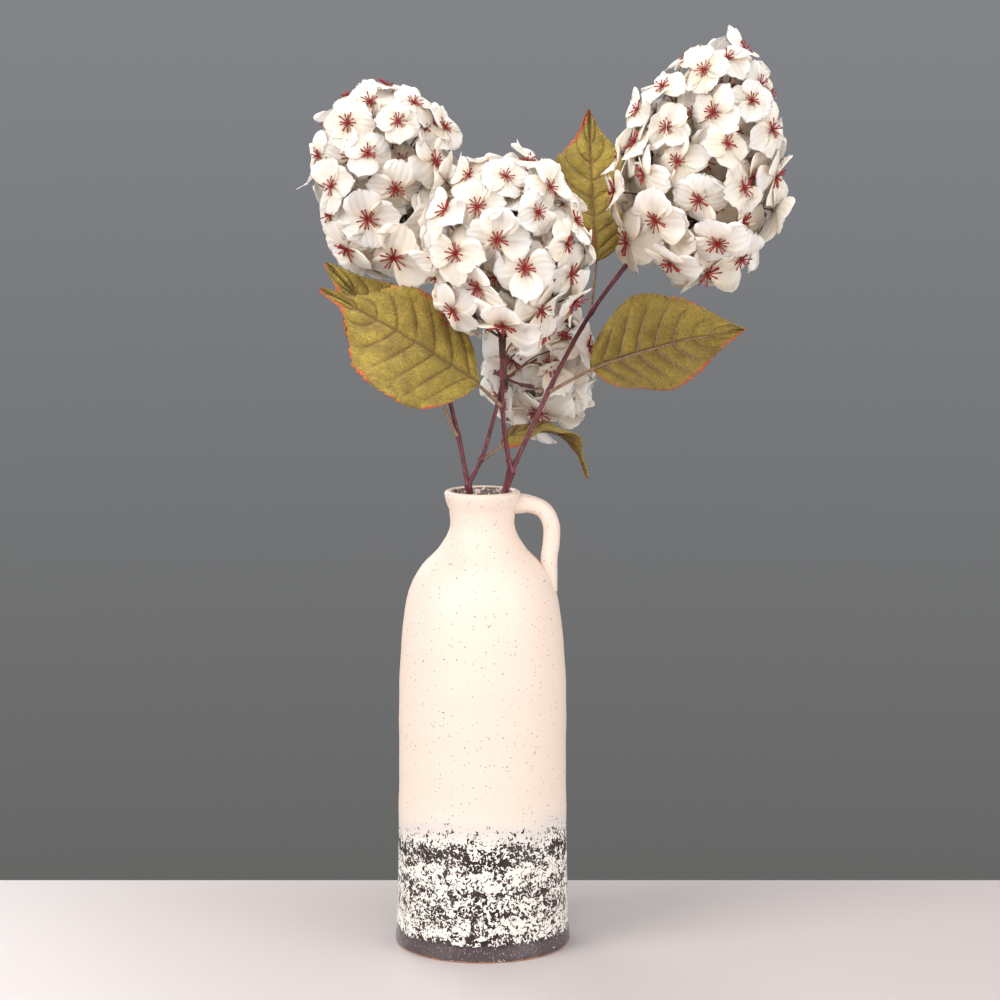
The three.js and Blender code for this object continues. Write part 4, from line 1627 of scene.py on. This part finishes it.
@dataclass
class Floret:
    """One of the die-cut florets: four broad petals, in shares of the floret's radius."""

    seed: int
    rows: int = 8
    columns: int = 6
    half_width: float = 0.61
    thickness: float = 0.018
    layer: float = 0.022  # between the lower and the upper pair of petals
    lift: tuple[float, float] = (-0.34, 0.3)  # the least and the most, as with each one below
    cup: tuple[float, float] = (-0.3, 0.34)
    tip: tuple[float, float] = (-0.42, 0.08)
    twist: tuple[float, float] = (0.1, 0.42)
    size: tuple[float, float] = (0.92, 1.08)
    breadth: tuple[float, float] = (0.9, 1.1)
    swing: tuple[float, float] = (-0.13, 0.13)
    roundness: tuple[float, float] = (0.56, 0.36)  # at the heart and at the tip, as with the next
    broadening: tuple[float, float] = (0.8, 1.02)
    heart_share: float = 0.09  # of the half width, left where the petals meet
    tip_share: float = 0.03
    tip_round: float = 0.1
    scallop: float = 0.07
    crease: float = 0.03
    pleat: float = 0.011
    crumple: float = 0.05

    def build(self) -> bpy.types.Mesh:
        """Returns the four petals as one mesh of thin closed sheets."""
        chance = random.Random(self.seed)
        hand = chance.choice((-1, 1))
        petals = [self.petal(number, hand, chance) for number in range(4)]
        holders = [linked("petal", mesh) for mesh in petals]
        holder = holders[0]
        with bpy.context.temp_override(
            active_object=holder, object=holder, selected_editable_objects=holders
        ):
            bpy.ops.object.join()
        mesh = holder.data
        bpy.data.objects.remove(holder)
        return mesh

    def petal(self, number: int, hand: int, chance: random.Random) -> bpy.types.Mesh:
        """Makes one petal.

        Args:
            number: Its place round the floret.
            hand: The way that the petals overlap, 1 or -1.
            chance: The floret's own chance.

        Returns:
            The petal's mesh.
        """
        lift, cup, tip = (chance.uniform(*limits) for limits in (self.lift, self.cup, self.tip))
        twist = chance.uniform(*self.twist) * hand
        size = chance.uniform(*self.size)
        broad = self.half_width * chance.uniform(*self.breadth)
        swing = number * math.pi / 2 + chance.uniform(*self.swing)
        shift = chance.uniform(0, 100)
        level = self.layer * (number % 2)

        def point(u: float, s: float, back: bool) -> Vector:
            """Returns a point of the petal's front or back."""
            t = math.sin(u * math.pi / 2) ** 0.9
            belly = math.sin(math.pi * min(t**1.02, 0.999)) ** mix(*self.roundness, t)
            least = self.heart_share if t < 0.5 else self.tip_share
            wide = broad * max(belly * mix(*self.broadening, t), least)
            ragged = noise.noise(Vector((u * 6, s * 5, shift)))
            scallop = ragged * self.scallop * (abs(s) ** 3 + u**6)
            along = t * size * (1 - self.tip_round * s * s * t) * (1 + scallop)
            side = s * wide * (1 + scallop)
            pleat = (self.pleat * math.sin(9 * s + shift) - self.crease * bump(s, 0.22)) * t
            crumple = self.crumple * noise.noise(Vector((u * 2, s * 1.5, shift)))
            height = lift * along + tip * along * along + cup * s * s * wide + twist * along * side
            height += pleat + level + crumple
            return Vector((along, side, height - (self.thickness if back else 0)))

        def out(u: float, s: float, back: bool) -> float:
            """Returns the share of the way out to the petal's tip."""
            return u

        values = {"out": out, "back": behind}
        mesh = shell_mesh(f"petal_{self.seed}_{number}", self.rows, self.columns, point, values)
        mesh.transform(Matrix.Rotation(swing, 4, "Z"))
        return mesh


@dataclass
class StamenStar:
    """The moulded red stamens at a floret's heart, in millimetres: a flat star round a pistil."""

    seed: int
    filaments: int = 12
    reach: float = 6.0
    radius: float = 0.45
    pistil: float = 3.6
    lean: float = 0.6
    hub: float = 1.0
    sides: int = 4
    stray: tuple[float, float] = (-0.32, 0.32)  # the least and the most, as with each one below
    length: tuple[float, float] = (0.72, 1.12)  # as a share of the reach
    rise: tuple[float, float] = (0.6, 3.4)

    def build(self, wires: WireTree, finishes: Finishes) -> bpy.types.Mesh:
        """Returns the star's mesh.

        Args:
            wires: The tree that sweeps the filaments.
            finishes: The finishes to dress it in.
        """
        chance = random.Random(self.seed)
        lines: list[Polyline] = []
        for number in range(self.filaments):
            angle = math.tau * (number + chance.uniform(*self.stray)) / self.filaments
            reach = self.reach * chance.uniform(*self.length)
            rise = chance.uniform(*self.rise)
            way = Vector((math.cos(angle), math.sin(angle), 0))
            points = [
                way * (reach * share) + Vector((0, 0, 0.5 + rise * share**0.8)) for share in (0, 0.55, 1)
            ]
            lines.append((points, [self.radius, self.radius * 0.75, self.radius * 1.2]))
        off, aside = (chance.uniform(-self.lean, self.lean) for _ in range(2))
        lean = Vector((off, aside, self.pistil))
        knob = [Vector((0, 0, 0.2)), lean * 0.7, lean, lean * 1.18]
        lines.append((knob, [self.hub * share for share in (0.6, 0.4, 0.72, 0.3)]))
        base = [Vector((0, 0, height)) for height in (-1.6, 0.1, 0.7, 1.1)]
        lines.append((base, [0.6, self.hub, self.hub, 0.5]))
        return wires.run(f"star_{self.seed}", line_mesh(lines), Sides=self.sides, Material=finishes.stamen)


@dataclass(frozen=True)
class FloretPlace:
    """Where a floret sits on its head, in millimetres from the mouth."""

    point: Vector
    normal: Vector
    radius: float
    spin: float


@dataclass
class FlowerHead:
    """A head of florets on wired sprigs, an egg round its axis."""

    name: str
    middle: tuple[float, float, float]
    axis: tuple[float, float, float]
    across: float
    along: float
    florets: int
    reach: float  # degrees from the top down to the lowest floret
    seed: int
    top_radius: float = 16.0
    low_radius: float = 23.5
    jitter: float = 3.6  # how far a floret strays, in millimetres
    stand: float = 6.5  # how far a floret sinks in
    stand_out: float = 0.3  # how far one stands out, as a share of that
    sizes: tuple[float, float] = (0.88, 1.1)  # the least and the most, as a share of the radius
    spin: float = 0.5  # radians
    inner_share: float = 0.6  # florets that sit deeper, as a share of the others
    inner_size: float = 0.78
    clearance: float = 0.68  # of a floret from its branch, as a share of its radius
    hang: float = 22.0  # how fast the florets hang down past a share of the way to the lowest
    hang_share: float = 0.55
    tilt: float = 0.44  # how far a floret leans, in radians
    sprigs_round: int = 5
    sprig_rise: float = 0.7
    trunk_reach: float = 18.0
    trunk_radius: float = 0.95
    pedicel_radius: float = 0.52
    pedicel_steps: int = 9
    pedicel_bend: float = 3.0
    star_radius: float = 18.0  # of the floret that a stamen star is made for
    wire_sides: int = 6
    tape_length: float = 14.0
    tape_turns: int = 11
    tape_steps: int = 14
    tape_radius: float = 0.5
    bound_radii: tuple[float, float] = (1.4, 2.1)  # below and over the crown
    core_line: tuple[tuple[float, float], ...] = ((-14.0, 1.4), (-3, 2.0), (0, 2.4), (2.6, 1.4))

    def places(self, stems: Stems) -> list[FloretPlace]:
        """Returns the florets' places, on a golden-angle spiral from the top, clear of the branch."""
        inner = round(self.florets * self.inner_share)
        return [
            *self.layer(stems, self.florets, 1.0, random.Random(self.seed)),
            *self.layer(stems, inner, self.inner_size, random.Random(self.seed + 3)),
        ]

    def layer(
        self, stems: Stems, florets: int, scale_share: float, chance: random.Random
    ) -> list[FloretPlace]:
        """Returns one layer of florets.

        Args:
            stems: The stems that carry the head.
            florets: How many florets the spiral has.
            scale_share: The layer's size as a share of the head's.
            chance: The layer's own chance.

        Returns:
            The places that are clear of the branch.
        """
        turn = Vector((0, 0, 1)).rotation_difference(Vector(self.axis).normalized())
        lowest = math.cos(math.radians(self.reach))
        route = stems.routes[self.name]
        branch = [route.at(distance) for distance in route.walk(0, route.length, 3)]
        found = []
        for count in range(florets):
            share = (count + 0.5) / florets
            height = 1 - share * (1 - lowest)
            around = count * GOLDEN_ANGLE
            rim = math.sqrt(1 - height * height)
            unit = Vector((rim * math.cos(around), rim * math.sin(around), height))
            scale = Vector((self.across, self.across, self.along)) * scale_share
            normal = turn @ Vector(part / size for part, size in zip(unit, scale)).normalized()
            stray = Vector(chance.uniform(-1, 1) for _ in range(3)) * self.jitter
            stray += normal * chance.uniform(-self.stand, self.stand_out * self.stand)
            stray.z -= self.hang * max(share - self.hang_share, 0)
            point = turn @ Vector(part * size for part, size in zip(unit, scale)) + Vector(self.middle)
            radius = mix(self.top_radius, self.low_radius, share) * chance.uniform(*self.sizes)
            if min((point - own).length for own in branch) > self.clearance * radius:
                spin = around + chance.uniform(-self.spin, self.spin)
                found.append(FloretPlace(point + stray, normal, radius, spin))
        return found

    def point_mesh(self, places: Sequence[FloretPlace], kinds: int, unit: float) -> bpy.types.Mesh:
        """Returns the places as points that carry what the flower tree reads.

        Args:
            places: The florets' places.
            kinds: How many kinds there are to choose from.
            unit: The radius that stands for a scale of 1.
        """
        chance = random.Random(self.seed + 1)
        mesh = bpy.data.meshes.new("places")
        mesh.from_pydata([place.point for place in places], [], [])
        named_values(mesh, "facing", [place.normal for place in places])
        named_values(mesh, "spin", [float(place.spin) for place in places])
        named_values(mesh, "size", [place.radius / unit for place in places])
        named_values(mesh, "kind", [chance.randrange(kinds) for _ in places])
        named_values(mesh, "tone", [chance.random() for _ in places])
        return mesh

    def ways(self, crown: Vector) -> list[Vector]:
        """Returns the directions of the sprigs' trunks from the crown."""
        axis = (Vector(self.middle) - crown).normalized()
        first = across(axis)
        second = axis.cross(first)
        step = math.tau / self.sprigs_round
        outward = [
            first * math.cos(step * number) + second * math.sin(step * number)
            for number in range(self.sprigs_round)
        ]
        return [axis, *((way + axis * self.sprig_rise).normalized() for way in outward)]

    def wire_lines(self, places: Sequence[FloretPlace], crown: Vector) -> list[Polyline]:
        """Returns the sprigs' trunks and the florets' pedicels.

        Args:
            places: The florets' places.
            crown: The head's crown.

        Returns:
            The lines with their radii.
        """
        chance = random.Random(self.seed + 2)
        ways = self.ways(crown)
        lines = [
            ([crown, crown + way * self.trunk_reach], [self.trunk_radius, self.trunk_radius * 0.8])
            for way in ways
        ]
        for place in places:
            toward = (place.point - crown).normalized()
            way = max(ways, key=toward.dot)
            fork = crown + way * (self.trunk_reach * chance.uniform(0.35, 1))
            apart = (place.point - fork).length
            bend = Vector(chance.uniform(-1, 1) for _ in range(3)) * self.pedicel_bend
            handles = [
                fork,
                fork + way * apart * 0.35 + bend,
                place.point - place.normal * apart * 0.35 + bend,
                place.point - place.normal * 0.6,
            ]
            shares = [step / self.pedicel_steps for step in range(self.pedicel_steps + 1)]
            radii = [mix(self.pedicel_radius * 1.2, self.pedicel_radius, share) for share in shares]
            lines.append(([bezier(handles, share) for share in shares], radii))
        return lines

    def binding_lines(self, stems: Stems) -> list[Polyline]:
        """Returns the tape wound round the branch's end, below and over the crown."""
        route = stems.routes[self.name]
        count = self.tape_turns * self.tape_steps
        points = []
        radii = []
        for step in range(count + 1):
            share = step / count
            distance = route.length - self.tape_length * (1 - share)
            heading = route.heading(min(distance, route.length - 1))
            first = across(heading)
            second = heading.cross(first)
            angle = math.tau * step / self.tape_steps
            uneven = 1 + 0.1 * noise.noise(Vector((step / 9, 0, self.seed)))
            reach = mix(*self.bound_radii, share**0.7) * uneven
            at = route.at(distance) + heading * max(distance - route.length, 0)
            points.append(at + (first * math.cos(angle) + second * math.sin(angle)) * reach)
            radii.append(self.tape_radius * (1 + 0.25 * noise.noise(Vector((step / 5, self.seed, 0)))))
        end = route.at(route.length)
        heading = route.heading(route.length - 1)
        core = [end + heading * reach for reach, _ in self.core_line]
        return [(points, radii), (core, [radius for _, radius in self.core_line])]

    def build(
        self,
        place: Place,
        finishes: Finishes,
        stems: Stems,
        flowers: FlowerTree,
        florets: bpy.types.Collection,
        stars: bpy.types.Collection,
    ) -> None:
        """Makes the head's petals, stamens, wires and binding.

        Args:
            place: Where the mouth is.
            finishes: The finishes to dress them in.
            stems: The stems that carry the head.
            flowers: The tree that sets the florets and the stars.
            florets: The kinds of floret.
            stars: The kinds of stamen star.
        """
        places = self.places(stems)
        crown = place.crown(self.name)
        sprigs = ["top", *(f"side_{number + 1}" for number in range(self.sprigs_round))]
        nodes = [f"sprig_{self.name}_{sprig}" for sprig in sprigs]
        for kind, shapes, unit, finish, slot, stands_for in (
            ("petals", florets, 1.0, finishes.petal, Slot.PETAL, nodes),
            ("stamens", stars, self.star_radius, finishes.stamen, Slot.STEM, []),
        ):
            name = f"{kind}_{self.name}"
            points = self.point_mesh(places, len(shapes.objects), unit)
            mesh = flowers.run(name, points, Kinds=shapes, Tilt=self.tilt, Seed=self.seed, Material=finish)
            add_piece(name, place.settle(mesh), finish, slot, stands_for)
        for kind, lines, finish, stands_for in (
            ("wires", self.wire_lines(places, crown), finishes.wire, []),
            ("binding", self.binding_lines(stems), finishes.binding, [f"crown_{self.name}"]),
        ):
            name = f"{kind}_{self.name}"
            mesh = stems.wires.run(name, line_mesh(lines), Sides=self.wire_sides, Material=finish)
            add_piece(name, place.settle(mesh), finish, Slot.STEM, stands_for)


HEADS = (
    FlowerHead(
        name="left",
        middle=(-62, 38, 198),
        axis=(-0.18, 0.03, 0.98),
        across=49,
        along=63,
        florets=38,
        reach=136,
        seed=11,
    ),
    FlowerHead(
        name="center",
        middle=(15, -40, 161),
        axis=(0.03, -0.23, 0.97),
        across=50.5,
        along=58,
        florets=40,
        reach=136,
        seed=23,
    ),
    FlowerHead(
        name="right",
        middle=(142, 15, 210),
        axis=(0.2, 0, 0.97),
        across=52,
        along=77,
        florets=53,
        reach=148,
        seed=37,
    ),
    FlowerHead(
        name="lower",
        middle=(39, 65, 79),
        axis=(0.56, 0.82, 0.08),
        across=37.5,
        along=34,
        florets=34,
        reach=156,
        seed=41,
    ),
)


def kinds_of(name: str, meshes: Sequence[bpy.types.Mesh]) -> bpy.types.Collection:
    """Returns a collection outside the scene that holds one object for each mesh.

    Args:
        name: The collection's name.
        meshes: The meshes, in order.
    """
    collection = bpy.data.collections.new(name)
    for number, mesh in enumerate(meshes):
        collection.objects.link(bpy.data.objects.new(f"{name}_{number:02d}", mesh))
    return collection


# ---- Studio -----------------------------------------------------------------------------------


@dataclass(frozen=True)
class SoftBox:
    """A large soft light that looks at the bouquet."""

    name: str
    place: tuple[float, float, float]
    size: float
    power: float

    def build(self, target: Vector) -> None:
        """Adds the light, aimed at a target."""
        data = bpy.data.lights.new(self.name, "AREA")
        data.shape = "DISK"
        data.size = self.size
        data.energy = self.power
        lamp = linked(self.name, data)
        lamp.location = self.place
        lamp.rotation_euler = (target - lamp.location).to_track_quat("-Z", "Y").to_euler()


@dataclass
class Studio:
    """The table, the plain grey surroundings, the soft lights and the camera, in metres."""

    table_front: float = -1.6
    table_back: float = 0.147
    table_half_width: float = 1.6
    table_thickness: float = 0.03
    camera_place: tuple[float, float, float] = (0.0115, -1.935, 0.565)
    camera_down: float = 7.96
    lens: float = 108.0
    sensor: float = 36.0
    lights: tuple[SoftBox, ...] = (
        SoftBox("key", (-1.65, -1.3, 1.2), 1.6, 50.0),
        SoftBox("fill", (1.7, -1.1, 0.5), 1.6, 31.0),
        SoftBox("front", (0.0, -2.0, 1.9), 1.4, 15.0),
        SoftBox("top", (0.1, -0.2, 2.0), 1.4, 20.0),
        SoftBox("back", (-0.9, 1.5, 1.1), 1.2, 14.0),
    )

    def build(self) -> None:
        """Makes the studio."""
        self.table()
        self.surroundings()
        low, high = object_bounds()
        for light in self.lights:
            light.build((low + high) / 2)
        data = bpy.data.cameras.new("camera")
        data.lens = self.lens
        data.sensor_width = self.sensor
        camera = linked("camera", data)
        camera.location = self.camera_place
        camera.rotation_euler = (math.radians(90 - self.camera_down), 0, 0)
        bpy.context.scene.camera = camera

    def table(self) -> None:
        """Makes the table top with its surface at the vase's base."""
        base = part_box("vase")[0].z
        corners = [
            (x, y, z)
            for z in (base - self.table_thickness, base)
            for y in (self.table_front, self.table_back)
            for x in (-self.table_half_width, self.table_half_width)
        ]
        faces = [(0, 2, 3, 1), (4, 5, 7, 6), (0, 1, 5, 4), (2, 6, 7, 3), (0, 4, 6, 2), (1, 3, 7, 5)]
        mesh = bpy.data.meshes.new("table")
        mesh.from_pydata(corners, [], faces)
        mesh.materials.append(LacqueredTable().material())
        linked("table", mesh)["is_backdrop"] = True

    def surroundings(self) -> None:
        """Sets a plain grey world, a little darker towards the table."""
        world = bpy.data.worlds.new("studio")
        bpy.context.scene.world = world
        world.use_nodes = True
        tree = world.node_tree
        tree.nodes.clear()
        add = partial(add_node, tree)
        axes = add("SeparateXYZ", {"Vector": add("TexCoord", out="Generated")}).node.outputs
        rise = add("MapRange", {"Value": axes["Z"], "From Min": -0.28, "From Max": 0.03})
        grey = add("ValToRGB", {"Fac": rise}, ((0.0, "#636361"), (1.0, "#838589")))
        add("OutputWorld", {"Surface": add("Background", {"Color": grey, "Strength": 1.0})})
        bpy.context.scene.view_settings.view_transform = "Standard"


# ---- Assembly ---------------------------------------------------------------------------------


def main() -> None:
    """Builds the object and its studio."""
    logging.basicConfig(level=logging.INFO, format="%(message)s")
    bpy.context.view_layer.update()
    place = Place.from_frame()
    finishes = Finishes()
    wires = WireTree()
    flowers = FlowerTree()
    vase = Vase()
    vase.build(place, finishes)
    stems = Stems(vase, wires)
    stems.build(place, finishes)
    for leaf in LEAVES:
        leaf.build(place, finishes, stems)
    florets = kinds_of("floret", [Floret(seed).build() for seed in range(FLORET_KINDS)])
    stars = kinds_of("star", [StamenStar(seed).build(wires, finishes) for seed in range(STAR_KINDS)])
    for head in HEADS:
        head.build(place, finishes, stems, flowers, florets, stars)
    for collection in (florets, stars):
        for kind in list(collection.objects):
            bpy.data.objects.remove(kind)
        bpy.data.collections.remove(collection)
    Studio().build()
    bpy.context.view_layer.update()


if __name__ == "__main__":
    main()
